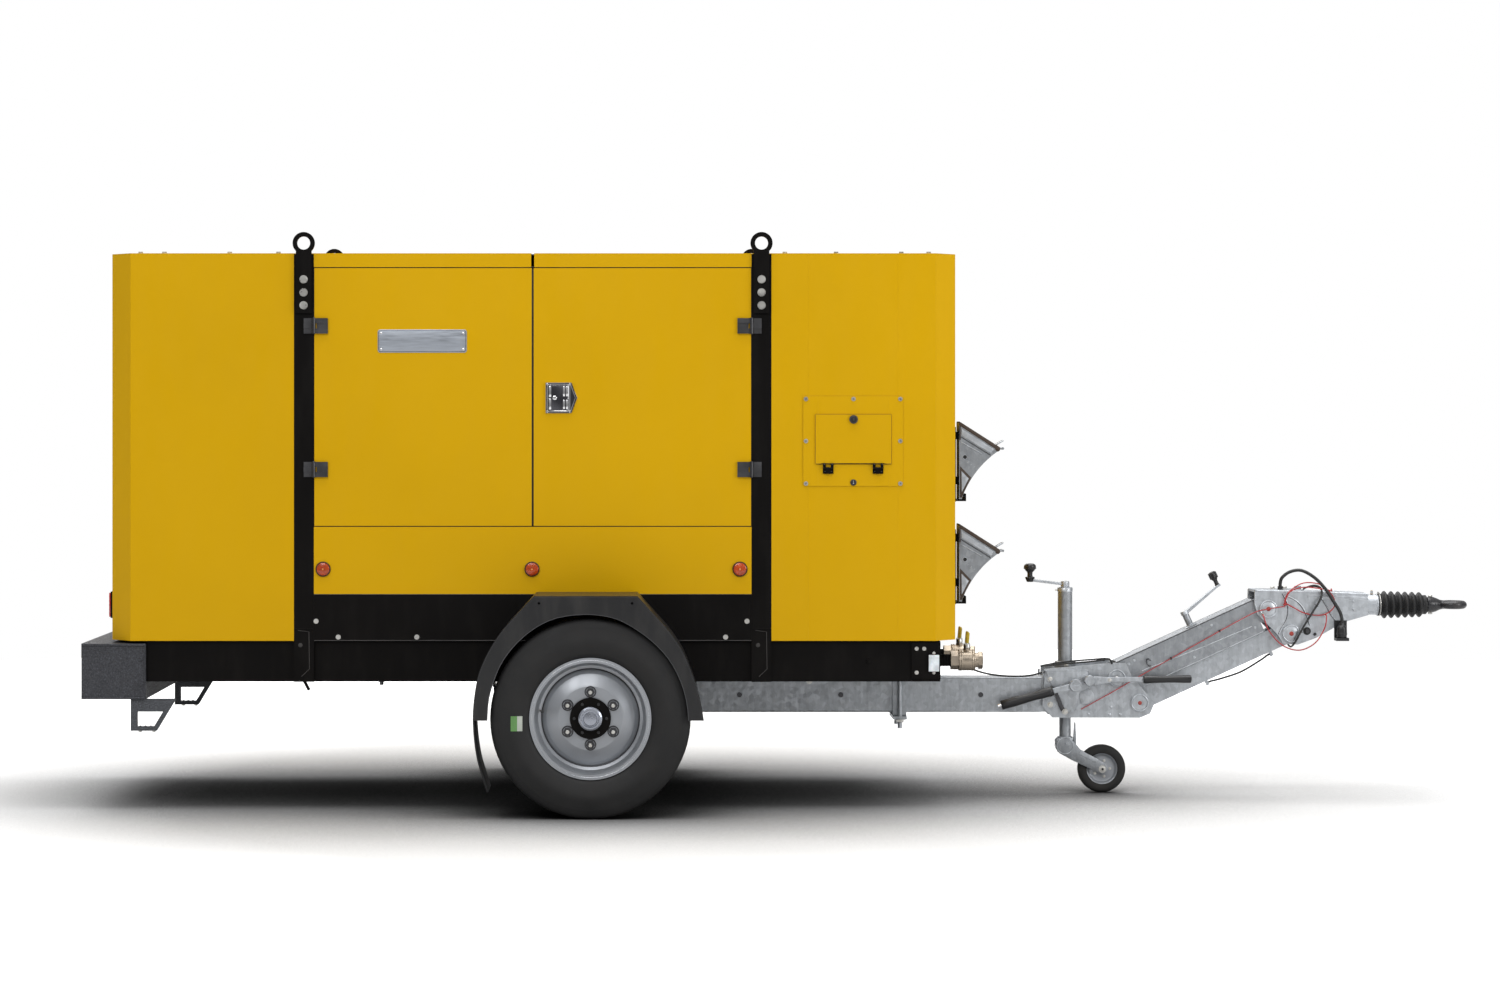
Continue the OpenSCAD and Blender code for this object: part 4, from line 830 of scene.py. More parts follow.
def make_mudguards():
    """Pressed arches: a flat face with rolled edges, a curved top sheet, stiffener and brackets; the rolled
    edges and the small face bolts are a lighter grey as a painted highlight.
    """
    piece = Piece("mudguard_arches", "chassis")
    top = flat_spline(GUARD_REAR, 4) + flat_spline(GUARD_FRONT, 4)
    inner = flat_spline(GUARD_INNER, 3)
    sheet = [(AXLE[0] + (x - AXLE[0]) * 0.991, AXLE[1] + (z - AXLE[1]) * 0.991) for x, z in top]
    for _, s in SIDES:
        piece.plate(top + inner, s * 0.9861, s * 0.9895, GUARD_BLACK, 0)
        for k in range(len(top) - 1):
            piece.plate([top[k], top[k + 1], sheet[k + 1], sheet[k]], s * 0.664, s * 0.986, GUARD_BLACK, 0)
        # Rolled edges in the lighter grey: painted highlight
        piece.tube(at_y(sheet, s * 0.986), 0.0036, GUARD_EDGE_HIGHLIGHT, 10)
        piece.tube(at_y(inner, s * 0.9862), 0.0032, GUARD_EDGE_HIGHLIGHT, 10)
        piece.tube(at_y(sheet, s * 0.6665), 0.003, GUARD_BLACK)
        for y in (0.74, 0.9):
            piece.bolt((-1.253, s * y, 0.43), (-1, 0, 0.05), 0.008, 0.004)
        for x in (-1.218, -0.43):
            piece.box((x, s * 0.6202, 0.54), (x + 0.012, s * 0.664, 0.59), GUARD_BLACK)
            piece.bolt((x + 0.006, s * 0.642, 0.59), Z, 0.007, 0.005)
        piece.box((-1.2545, s * WHEEL_Y - 0.115, 0.386), (-1.248, s * WHEEL_Y + 0.115, 0.42), BOLT)
        for x in (-1, -0.64):
            piece.bolt((x, s * 0.988, 0.84), (0, s, 0), 0.006, 0.0015, GUARD_EDGE_HIGHLIGHT, 0)
    piece.done(["mudguards"])


def make_flaps():
    """Rubber sheets that hang behind both wheels, each a thin sheet along a bent route."""
    piece = Piece("rubber_flaps", "chassis")
    route = flat_spline(FLAP_ROUTE, 5)
    outline = route + [(x + 0.0065, z) for x, z in reversed(route)]
    for _, s in SIDES:
        piece.plate(outline, s * WHEEL_Y - 0.1165, s * WHEEL_Y + 0.1165, RUBBER, 0.0015)
    piece.done(["mud_flaps"], 32)


make_mudguards()
make_flaps()


# ---- Pivots of the drawbar ----

LINK_ANGLE = radians(24.55)
LINK_LEN = 0.69
UPPER_REAR = (1.362, 0.481)
LOWER_REAR = (1.457, 0.379)
LINK_UP = Vector((-sin(LINK_ANGLE), 0, cos(LINK_ANGLE)))
SHAFT_Z = 0.781


def on_link(pivot, u, v):
    """Point at u along the link and v above its pivot line, as (x, z)."""
    return (pivot[0] + u * cos(LINK_ANGLE) - v * sin(LINK_ANGLE),
            pivot[1] + u * sin(LINK_ANGLE) + v * cos(LINK_ANGLE))


def link_point(u, y, v, pivot=UPPER_REAR):
    x, z = on_link(pivot, u, v)
    return Vector((x, y, z))


UPPER_FRONT = on_link(UPPER_REAR, LINK_LEN, 0)
LOWER_FRONT = on_link(LOWER_REAR, LINK_LEN, 0)


# ---- Tow eye, bellows and jockey wheel ----

def make_bellows(x0=2.458, x1=2.66, folds=6):
    """Folded boot and its clamp."""
    piece = Piece("bellows_boot", "hitch")
    length = x1 - x0
    profile = [(0.034, 0.0), (0.0455, 0.0), (0.0462, 0.002), (0.0462, 0.01), (0.0445, 0.012)]
    for k in range(folds * 12 + 1):
        t = k / (folds * 12)
        wave = 0.5 - 0.5 * cos(2 * pi * folds * t)
        low, high = 0.0425 - 0.0035 * t, 0.0578 - 0.006 * t
        profile.append((low + (high - low) * wave ** 0.8, 0.014 + (length - 0.028) * t))
    profile += [(0.0395, length - 0.012), (0.04, length - 0.002), (0.039, length), (0.0335, length),
                (0.0335, length - 0.02), (0.035, length / 2), (0.034, 0.02)]
    piece.lathe(profile, (x0, 0, SHAFT_Z), X, RUBBER, 64, True)
    obj = piece.done(["bellows"], 60)
    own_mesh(obj)
    clamp = Piece("bellows_clamp", "hitch")
    clamp.ring((x0 + 0.006, 0, SHAFT_Z), X, 0.0468, 0.0014, BOLT, 56)
    clamp.box((x0 + 0.002, -0.008, SHAFT_Z + 0.0465), (x0 + 0.01, 0.008, SHAFT_Z + 0.0535), BOLT)
    clamp.done(smooth=32)


def make_tow_eye():
    """Forged ring on a neck that flares out of the collar, and the sliding shaft."""
    piece = Piece("tow_eye_forging", "eye")
    axis = (0, 0, SHAFT_Z)
    outer, bore = 0.058, 0.02
    profile = [(bore, -0.0125), (bore + 0.0035, -0.0162)]
    profile += [(r, t * 0.96) for r, t in arc((outer - 0.0175, 0), 0.0175, -90, 90, 12)]
    profile += [(bore + 0.0035, 0.0162), (bore, 0.0125)]
    piece.lathe(profile, (2.772, 0, SHAFT_Z), Z, EYE_BLACK, 72, True)
    piece.cap(axis, X, [(0.0305, 2.69), (0.03, 2.697), (0.0265, 2.706), (0.0215, 2.716), (0.0188, 2.726),
                        (0.0178, 2.737)], EYE_BLACK, 48, 2.7385)
    piece.cap(axis, X, [(0.025, 2.31), (0.025, 2.664)], CHROME, 48)
    piece.cap(axis, X, [(0.03, 2.663), (0.032, 2.665), (0.032, 2.692), (0.03, 2.695)], EYE_BLACK, 48)
    for way in (1, -1):
        piece.bolt((2.679, 0, SHAFT_Z + way * 0.031), (0, 0, way), 0.0085, 0.0085, BOLT, 0)
    piece.done(["tow_eye"])


def make_jockey_wheel():
    """Solid tyre on a pressed rim with its bolts."""
    piece = Piece("jockey_wheel_tyre", "jockey_wheel")
    center = (1.309, 0, 0.1)
    tread = [(0.062, -0.0205), (0.068, -0.0242), (0.082, -0.0249), (0.092, -0.0215), (0.0972, -0.0145),
             (0.0995, -0.006), (0.0998, 0.0)]
    piece.lathe(tread + [(r, -t) for r, t in reversed(tread[:-1])], center, Y, TREAD, 96, True)
    rim = [(0.0115, -0.025), (0.02, -0.025), (0.0215, -0.0235), (0.0225, -0.012), (0.044, -0.007),
           (0.054, -0.0105), (0.059, -0.02), (0.0635, -0.0225), (0.0645, -0.02), (0.061, -0.016)]
    piece.lathe(rim + [(r, -t) for r, t in reversed(rim)], center, Y, RIM_PAINT, 72, True)
    for _, s in SIDES:
        for x, z in circle(5, 0.034):
            piece.bolt((center[0] + x, s * 0.0098, center[2] + z), (0, s, 0), 0.0045, 0.006)
    piece.done(["jockey_wheel"])


make_bellows()
make_tow_eye()
make_jockey_wheel()


# ---- Cords ----

FRONT_ROUTE = [
    (0.597, -0.040, 0.560), (0.650, -0.041, 0.553), (0.740, -0.044, 0.524), (0.830, -0.047, 0.497),
    (0.920, -0.049, 0.487), (1.000, -0.050, 0.489), (1.060, -0.051, 0.503), (1.110, -0.051, 0.516),
    (1.180, -0.051, 0.517), (1.262, -0.051, 0.517)]
ARM_ROUTE = [(0.300, -0.030, -0.048), (0.312, -0.030, -0.048), (0.350, -0.031, -0.055),
             (0.440, -0.033, -0.064), (0.530, -0.031, -0.055), (0.568, -0.030, -0.048),
             (0.580, -0.030, -0.048)]
HEAD_ROUTE = [
    (2.047, -0.040, 0.860), (2.047, -0.040, 0.872), (2.054, -0.045, 0.896), (2.085, -0.052, 0.920),
    (2.130, -0.064, 0.926), (2.180, -0.082, 0.898), (2.222, -0.098, 0.852), (2.255, -0.106, 0.800),
    (2.279, -0.110, 0.760), (2.288, -0.110, 0.730), (2.288, -0.110, 0.712)]
WIRE_ROUTE = [
    (1.965, -0.092, 0.745), (1.966, -0.112, 0.735), (1.985, -0.122, 0.680), (2.040, -0.127, 0.620),
    (2.110, -0.128, 0.600), (2.175, -0.126, 0.630), (2.215, -0.119, 0.690), (2.225, -0.110, 0.735),
    (2.225, -0.092, 0.745)]


def make_cord(name, route, radius, body, node, material):
    """Cord along its route as a curve."""
    points = spline(route, 6)
    data = bpy.data.curves.new(name, "CURVE")
    data.dimensions = "3D"
    data.bevel_depth = radius
    data.bevel_resolution = 4
    data.use_fill_caps = True
    line = data.splines.new("POLY")
    line.points.add(len(points) - 1)
    for p, co in zip(line.points, points):
        p.co = (*co, 1)
    data.materials.append(material)
    obj = place(bpy.data.objects.new(name, data))
    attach(obj, body)
    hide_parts(node)


def make_plug(x=2.288, y=-0.11):
    """Ribbed plug with a boot, a latch and a contact skirt."""
    plug = Piece("plug_shell", "hitch")
    plug.lathe([(0, 0.6505), (0.0185, 0.6505), (0.0205, 0.653), (0.0205, 0.662), (0.0215, 0.663),
                (0.0218, 0.67), (0.0205, 0.671), (0.02, 0.69), (0.0165, 0.6985), (0.0115, 0.702),
                (0.01, 0.7115), (0.0072, 0.7118)],
               (x, y, 0), Z, GRIP, 36)
    for c, d in circle(14):
        plug.rod((x + 0.0203 * c, y + 0.0203 * d, 0.6725), (x + 0.0196 * c, y + 0.0196 * d, 0.6895),
                 0.0013, GRIP, 6, 0.0006)
    plug.box((x - 0.0075, y - 0.0235, 0.656), (x + 0.0075, y - 0.0185, 0.668), GRIP, 0.0015)
    return plug.done(["plug"])


plug_shell = make_plug()
arm_points = [link_point(u, y, v, LOWER_REAR) for u, y, v in ARM_ROUTE]
make_cord("front_lead", FRONT_ROUTE, 0.004, "chassis", "front_cable", CABLE)
make_cord("arm_lead", arm_points, 0.004, "lower_arm", "arm_cable", CABLE)
make_cord("head_lead", HEAD_ROUTE, 0.007, "hitch", "head_cable", CABLE)
make_cord("safety_wire", WIRE_ROUTE, 0.0025, "hitch", "breakaway_wire", RED_WIRE)


# ---- Door latches, hinges, plate and liners ----

DISH_X = (-0.985, -0.883)
DISH_Z = (1.577, 1.698)
HINGE_ZS = ((1.323, 1.383), (1.893, 1.954))
RIB_ZS = (1.3, 1.64, 1.98)


def make_latch(side, s):
    """Rolled frame, pointed tip and recess of the dish, and the paddle with its pull strips and lock."""
    middle = sum(DISH_Z) / 2
    (left, right), (foot, head) = DISH_X, DISH_Z
    out = (0, s, 0)
    piece = Piece("latch_dish_" + side, f"door_{side}_front")
    edge = [(left + 0.0035, foot + 0.0035), (right, foot + 0.0035), (right + 0.02, middle),
            (right, head - 0.0035), (left + 0.0035, head - 0.0035)]
    piece.tube(at_y(edge, s * 0.6445), 0.0034, LATCH_SHADE, 12, True)
    lip = rounded((left + 0.0085, foot + 0.0085), (right - 0.0085, head - 0.0085), 0.003)
    piece.tube(at_y(lip, s * 0.6462), 0.0014, CHROME, 8, True)
    piece.plate([(right - 0.004, foot + 0.01), (right + 0.015, middle), (right - 0.004, head - 0.01)],
                s * 0.6462, s * 0.6472, LATCH_SHADE, 0.0006)
    for x in (left + 0.006, right - 0.006):
        for z in (foot + 0.006, head - 0.006):
            piece.cap((x, s * 0.6468, z), out, [(0.0042, 0), (0.0036, 0.0022)], CHROME, 16, 0.003)
    piece.box((left + 0.01, s * 0.64, foot + 0.01), (right - 0.01, s * 0.6421, head - 0.01), LATCH_SHADE, 0)
    piece.done()

    paddle = Piece("latch_paddle_" + side, "latch_" + side)
    x0, x1, z0, z1 = left + 0.012, right - 0.013, foot + 0.012, head - 0.012
    paddle.plate(rounded((x0, z0), (x1, z1), 0.003), s * 0.6426, s * 0.6462, LATCH_SHADE, 0.0006)
    for low, high in ((z0 + 0.002, middle - 0.003), (middle + 0.003, z1 - 0.002)):
        paddle.box((x0 + 0.001, s * 0.6455, low), (x0 + 0.0105, s * 0.6484, high), CHROME, 0.0012)
    for low, high in ((z0 + 0.004, middle - 0.008), (middle + 0.006, z1 - 0.003)):
        for a, b in ((x1 - 0.02, x1 - 0.012), (x1 - 0.008, x1)):
            paddle.box((a, s * 0.6455, low), (b, s * 0.6482, high), CHROME, 0.0012)
    paddle.rod((x1, s * 0.6452, z0), (x1, s * 0.6452, z1), 0.0027, CHROME, 16, 0.0006)
    paddle.cap((x0 + 0.024, s * 0.646, middle), out, [(0.0085, 0), (0.0085, 0.0018), (0.0072, 0.0028)],
               CHROME, 28)
    paddle.box((x0 + 0.0228, s * 0.6484, middle - 0.004), (x0 + 0.0252, s * 0.6493, middle + 0.004), GRIP,
               0.0003)
    paddle.plate([(x0 + 0.034, middle), (x0 + 0.044, middle + 0.01), (x0 + 0.044, middle - 0.01)],
                 s * 0.6458, s * 0.6474, LATCH_SHADE, 0.0005)
    paddle.done(["latch_" + side])


def make_door_details(side, s):
    """Hinge screws, sound foam held by ribs and washers, and the seal round each door."""
    for end, hinge_x, way, left, right in (("rear", -1.906, 1, -1.904, -1.0405),
                                           ("front", -0.167, -1, -1.0325, -0.169)):
        piece = Piece(f"door_fittings_{side}_{end}", f"door_{side}_{end}")
        for z0, z1 in HINGE_ZS:
            for z in (z0 + 0.012, z1 - 0.012):
                for u in (0.026, 0.044):
                    piece.bolt((hinge_x + way * u, s * 0.646, z), (0, s, 0), 0.0038, 0.0032, STEEL_DARK, 0)
            for z in (z0 - 0.0012, z1 + 0.0012):
                piece.cap((hinge_x, s * 0.648, z), Z, [(0.0058, -0.0012), (0.0066, 0.0), (0.0058, 0.0012)],
                          STEEL_DARK, 20)
        x0, x1 = left + 0.012, right - 0.012
        piece.box((x0, s * 0.6355, 1.145), (x1, s * 0.615, 2.137), FOAM, 0.004)
        for z in RIB_ZS:
            piece.box((x0 + 0.02, s * 0.615, z - 0.012), (x1 - 0.02, s * 0.6125, z + 0.012), BLACK, 0.0008)
        for k in range(5):
            for z in RIB_ZS:
                piece.bolt((x0 + 0.06 + (x1 - x0 - 0.12) * k / 4, s * 0.6125, z), (0, -s, 0), 0.005, 0.004,
                           BOLT, 2.2)
        seal = rounded((left + 0.004, 1.133), (right - 0.004, 2.149), 0.012)
        piece.tube(at_y(seal, s * 0.6142), 0.0024, RUBBER, 8, True)
        piece.done(smooth=32)


def make_name_plate():
    """Blank brushed plate held by four rivets on the near rear door."""
    piece = Piece("blank_plate", "door_right_rear")
    x0, x1, z0, z1 = -1.652, -1.298, 1.817, 1.909
    piece.plate(rounded((x0, z0), (x1, z1), 0.01, 5), -0.64, -0.6416, PLATE_METAL, 0.0005)
    rim = rounded((x0 + 0.004, z0 + 0.004), (x1 - 0.004, z1 - 0.004), 0.007, 5)
    piece.tube(at_y(rim, -0.6417), 0.0009, LATCH_SHADE, 6, True)
    for x in (x0 + 0.014, x1 - 0.014):
        for z in (z0 + 0.014, z1 - 0.014):
            piece.cap((x, -0.6415, z), NEAR, [(0.0048, 0), (0.0042, 0.0014), (0.0025, 0.0022)], CHROME, 18,
                      0.0025)
    piece.done(smooth=32)


def make_gap_shades():
    """Dark boxes in the rubber material set behind the gaps round the doors, between the roof halves and
    under the lower panels, as painted shade in the slots.
    """
    piece = Piece("canopy_gap_shade", "chassis")
    for _, s in SIDES:
        y0, y1 = s * 0.6365, s * 0.63
        # Dark boxes behind the gaps: painted shade in the slots
        for x0, x1 in ((-1.0445, -1.0285), (-1.9085, -1.9005), (-0.1725, -0.1645)):
            piece.box((x0, y0, 1.125), (x1, y1, 2.157), RUBBER)
        for z in (1.127, 2.155):
            piece.box((-1.905, y0, z - 0.005), (-0.168, y1, z + 0.005), RUBBER)
    piece.box((-1.0435, -0.636, 2.204), (-1.0295, 0.636, 2.2085), RUBBER)
    piece.done(smooth=32)


for side_name, side_sign in SIDES:
    make_latch(side_name, side_sign)
    make_door_details(side_name, side_sign)
make_name_plate()
make_gap_shades()


# ---- Service panel and lamps ----

def make_panel_fittings():
    """Lock, screw slots and hinge screws of the panel, darker yellow lines round its edge and its opening as
    painted shade in the seams, and the sockets and breakers in its recess.
    """
    piece = Piece("panel_fittings", "chassis")
    # Darker yellow line round the panel: painted shade in its seam
    piece.tube(at_y(rounded((0.0385, 1.2875), (0.4345, 1.6445), 0.003), -0.6405), 0.001, SEAM_SHADE_YELLOW, 6, True)
    piece.cap((0.2375, -0.643, 1.3015), NEAR, [(0.0125, 0), (0.0125, 0.003), (0.0105, 0.0042)], GRIP, 28)
    piece.box((0.2363, -0.648, 1.2965), (0.2387, -0.6468, 1.3065), CHROME, 0.0003)
    for x, zs in ((0.049, (1.297, 1.466, 1.633)), (0.238, (1.633,)), (0.424, (1.297, 1.466, 1.633))):
        for z in zs:
            for turn in (25, 115):
                piece.box((x - 0.005, -0.6475, z - 0.0007), (x + 0.005, -0.6468, z + 0.0007), GRIP, 0.0002,
                          ("Y", turn))
    # Darker yellow line round the opening: painted shade
    opening_shade_line = rounded((0.0985, 1.3755), (0.3765, 1.5605), 0.006)
    piece.tube(at_y(opening_shade_line, -0.6428), 0.0024, SEAM_SHADE_YELLOW, 8, True)
    for x in (0.124, 0.15, 0.322, 0.348):
        piece.bolt((x, -0.647, 1.3455), NEAR, 0.003, 0.0025, STEEL_DARK, 0)
    for x in (0.15, 0.237, 0.324):
        piece.ring((x, -0.6025, 1.42), Y, 0.0285, 0.0024, SOCKET)
        piece.cap((x, -0.6022, 1.42), NEAR, [(0.0265, 0), (0.0265, 0.0035), (0.024, 0.005)], SOCKET, 40)
        piece.box((x - 0.008, -0.611, 1.4455), (x + 0.008, -0.601, 1.4545), GRIP, 0.0012)
    for x in (0.139, 0.209, 0.279, 0.349):
        piece.box((x - 0.0042, -0.6045, 1.523), (x + 0.0042, -0.595, 1.539), GRIP, 0.0012, ("X", 18))
        piece.box((x - 0.008, -0.5972, 1.503), (x + 0.008, -0.5962, 1.512), LABEL_PALE, 0.0003)
    piece.done(smooth=32)


def make_flap_fittings():
    """Quarter-turn lock, seam drawn as a darker yellow line of painted shade, and hinge screws of the flap.
    """
    flap = Piece("flap_fittings", "service_flap")
    flap.cap((0.238, -0.6535, 1.552), NEAR, [(0.012, 0), (0.012, 0.0025), (0.0105, 0.0042), (0.008, 0.0046)],
             GRIP, 36)
    flap.box((0.236, -0.659, 1.547), (0.24, -0.6578, 1.557), STEEL_DARK, 0.0005)
    # Darker yellow line round the flap: painted shade in its seam
    flap.tube(at_y(rounded((0.0865, 1.3755), (0.3885, 1.5725), 0.003), -0.6458), 0.0011, SEAM_SHADE_YELLOW, 6, True)
    for x in (0.1215, 0.1525, 0.3195, 0.3505):
        flap.bolt((x, -0.6552, 1.3735), NEAR, 0.003, 0.0022, STEEL_DARK, 0)
    flap.done(smooth=32)


def make_marker_lamp(piece, x, s):
    """Round side lamp: rim, amber lens in two steps and its bright core."""
    base, out = (x, s * 0.64, 0.957), (0, s, 0)
    piece.cap(base, out, [(0.03, 0), (0.0302, 0.004), (0.0285, 0.0075), (0.0262, 0.0082), (0.0255, 0.005)],
              LAMP_RIM, 48)
    piece.cap(base, out, [(0.0254, 0.0048), (0.025, 0.0078), (0.0205, 0.0102), (0.012, 0.0116)], AMBER, 48,
              0.012)
    for r in (0.0205, 0.0145, 0.0085):
        piece.ring((x, s * (0.6505 + (0.0205 - r) * 0.09), 0.957), Y, r, 0.0009, AMBER, 40, 6)
    piece.cap(base, out, [(0.0034, 0.0112), (0.0026, 0.0124)], AMBER_CORE, 20, 0.0126)


def make_lamps():
    """Marker lamps with a rubber rim and reflector, position lamps on brackets, and rear lamps."""
    piece = Piece("lamp_set", "chassis")
    for _, s in SIDES:
        for x in (-1.869, -1.039, -0.213):
            make_marker_lamp(piece, x, s)
        piece.box((0.5355, s * 0.6282, 0.5485), (0.5805, s * 0.6385, 0.6175), BLACK, 0.002)
        piece.box((0.537, s * 0.6365, 0.55), (0.579, s * 0.6418, 0.616), CLEAR, 0.002)
        for k in range(6):
            x = 0.5425 + 0.0066 * k
            piece.box((x, s * 0.6412, 0.553), (x + 0.0028, s * 0.642, 0.613), CLEAR, 0.0003)
        for z in (0.544, 0.6225):
            piece.bolt((0.5585, s * 0.628, z), (0, s, 0), 0.0045, 0.004)
        piece.box((-2.73, s * 0.378, 0.757), (-2.72, s * 0.542, 0.863), BLACK, 0.002)
        for a, b, material in ((0.382, 0.434, AMBER), (0.436, 0.49, RED_LENS), (0.492, 0.538, RED_LENS)):
            piece.box((-2.736, s * a, 0.7615), (-2.729, s * b, 0.8585), material, 0.002)
            for k in range(5):
                z = 0.772 + 0.017 * k
                piece.box((-2.7366, s * (a + 0.003), z), (-2.7355, s * (b - 0.003), z + 0.006), material,
                          0.0004)
    # Plate holder and its lamp between the clusters
    piece.box((-2.7245, -0.265, 0.752), (-2.72, 0.265, 0.872), BLACK, 0.0015)
    piece.box((-2.7262, -0.258, 0.757), (-2.7245, 0.258, 0.867), LABEL_PALE, 0.0006)
    piece.box((-2.74, -0.035, 0.878), (-2.72, 0.035, 0.896), GRIP, 0.003)
    piece.done(["lamps"], 32)


make_panel_fittings()
make_flap_fittings()
make_lamps()


# ---- Drawbar, levers and jack ----

GRIP_A = (1.091, 0.431)
GRIP_B = (0.88, 0.372)
BRAKE_PIVOT = (1.187, 0.454)
CLAMP_PIVOT = (1.245, 0.474)
LEVER_Y = -0.12
JACK_X = 1.158
JOCKEY_AXLE = (1.309, 0.1)


def pivot_cover(piece, pivot, s, face, rows, major, mark):
    """Ring, cover disc and painted centre mark of a link pivot."""
    (x, z), out = pivot, (0, s, 0)
    piece.ring((x, s * (face + 0.0006), z), Y, major, 0.0026, ZINC_PALE, 48)
    piece.cap((x, s * face, z), out, rows[0], ZINC_PALE, 40, rows[1])
    piece.cap((x, s * (face + 0.002), z), out, rows[2], mark, 18, rows[3])


def make_drawbar_fittings():
    """Clamp plate over the jack, bolts, weld beads, pivot rings and the clamp to the chassis."""
    piece = Piece("drawbar_fittings", "chassis")
    vee = [(1.065, 0.5165), (1.241, 0.5165), (1.243, 0.44), (1.2076, 0.424), (1.19, 0.352), (1.176, 0.341),
           (1.139, 0.341), (1.128, 0.356), (1.0937, 0.4454)]
    piece.plate(vee, -0.0882, -0.0824, ZINC, 0.0012)
    piece.box((1.062, -0.089, 0.5085), (1.244, -0.07, 0.5175), ZINC, 0.003)
    lobe = arc((1.232, 0.402), 0.036, -60, 120, 14) + [(1.205, 0.424), (1.214, 0.374)]
    piece.plate(lobe, -0.0866, -0.0824, ZINC, 0.0012)
    piece.plate([(1.091, 0.45), (1.108, 0.443), (1.146, 0.352), (1.129, 0.345)], -0.092, -0.0884, STEEL_DARK)
    piece.bolt((1.147, -0.092, 0.343), NEAR, 0.009, 0.009)
    piece.bolt((1.174, -0.0884, 0.3455), NEAR, 0.0065, 0.006, ZINC_PALE)
    for x, z in ((1.246, 0.332), (1.331, 0.331), (1.376, 0.331), (1.338, 0.362)):
        piece.cap((x, -0.0822, z), NEAR, [(0.0058, 0), (0.0052, 0.002), (0.003, 0.0032)], ZINC_PALE, 16,
                  0.0035)
    cover = ([(0.03, 0), (0.029, 0.001)], 0.0012, [(0.0085, 0), (0.0065, 0.0018)], 0.0022)
    for _, s in SIDES:
        out = (0, s, 0)
        pivot_cover(piece, UPPER_REAR, s, 0.0882, cover, 0.0335, BOLT)
        pivot_cover(piece, LOWER_REAR, s, 0.0882, cover, 0.0335, RED_PAINT)
        for z in (0.372, 0.478):
            piece.bolt((1.087, s * 0.0822, z), out, 0.009, 0.009)
        # Weld bead where each side plate meets the beam
        piece.tube([(1.057 + 0.0012 * (k % 2), s * 0.0735, 0.366 + 0.0095 * k) for k in range(16)], 0.0042,
                   ZINC_PALE)
        for z, way in ((0.494, 1), (0.313, -1)):
            piece.bolt((0.463, s * 0.097, z), (0, 0, way), 0.0155, 0.013, BOLT, 1.5)
        for x in (-0.45, 0.09):
            piece.bolt((x, s * 0.0705, 0.47), out, 0.01, 0.008)
    # Drain holes, each a pale ring round a flat dark disc that is painted shade of the hole, and the seams of
    # the folded beam
    for x in (-0.2, 0.22, 0.8):
        piece.ring((x, -0.0702, 0.4115), Y, 0.0115, 0.0012, ZINC_PALE, 28, 6)
        piece.disc((x, -0.07, 0.4115), NEAR, 0.0105, 0.0004, STEEL_DARK)
    for z in (0.481, 0.3425):
        piece.tube([(-0.56, -0.0702, z), (1.05, -0.0702, z)], 0.0026, ZINC_PALE)
    piece.done()


def make_head_leads():
    """Two thin leads clipped along the top edge of the drawbar head."""
    piece = Piece("head_edge_leads", "chassis")
    for y, lift in ((-0.079, 0.0), (-0.0755, 0.004)):
        piece.hose([(1.046, y, 0.531), (1.09, y, 0.5355 + lift), (1.17, y, 0.5425 + lift * 2),
                    (1.26, y, 0.55 + lift * 2), (1.322, y, 0.558 + lift), (1.336, y - 0.006, 0.556),
                    (1.342, -0.0864, 0.54)], 0.0036, CABLE, 8, 5)
    for x, z in ((1.1, 0.5375), (1.31, 0.557)):
        piece.box((x - 0.003, -0.085, z - 0.006), (x + 0.003, -0.0715, z + 0.0085), GRIP)
    piece.done()


def make_jack_fittings():
    """Dust cap, collar screws and height mark of the jack."""
    piece = Piece("jack_fittings", "chassis")
    piece.lathe([(0.0296, 0.835), (0.0316, 0.836), (0.0316, 0.85), (0.029, 0.8532), (0.012, 0.8534),
                 (0.012, 0.85), (0.029, 0.849)], (JACK_X, 0, 0), Z, ZINC_PALE, 48, True)
    piece.ring((JACK_X, 0, 0.544), Z, 0.0405, 0.0028, ZINC, 48)
    piece.bolt((JACK_X - 0.043, 0, 0.529), (-1, 0, 0), 0.0075, 0.01)
    piece.bolt((JACK_X, -0.0435, 0.529), NEAR, 0.0075, 0.01)
    piece.rod((JACK_X - 0.03, 0, 0.842), (JACK_X - 0.041, 0, 0.842), 0.0032, BOLT, 12, 0.001)
    piece.ring((JACK_X, 0, 0.3815), Z, 0.0288, 0.0018, ZINC_PALE, 48)
    piece.done()


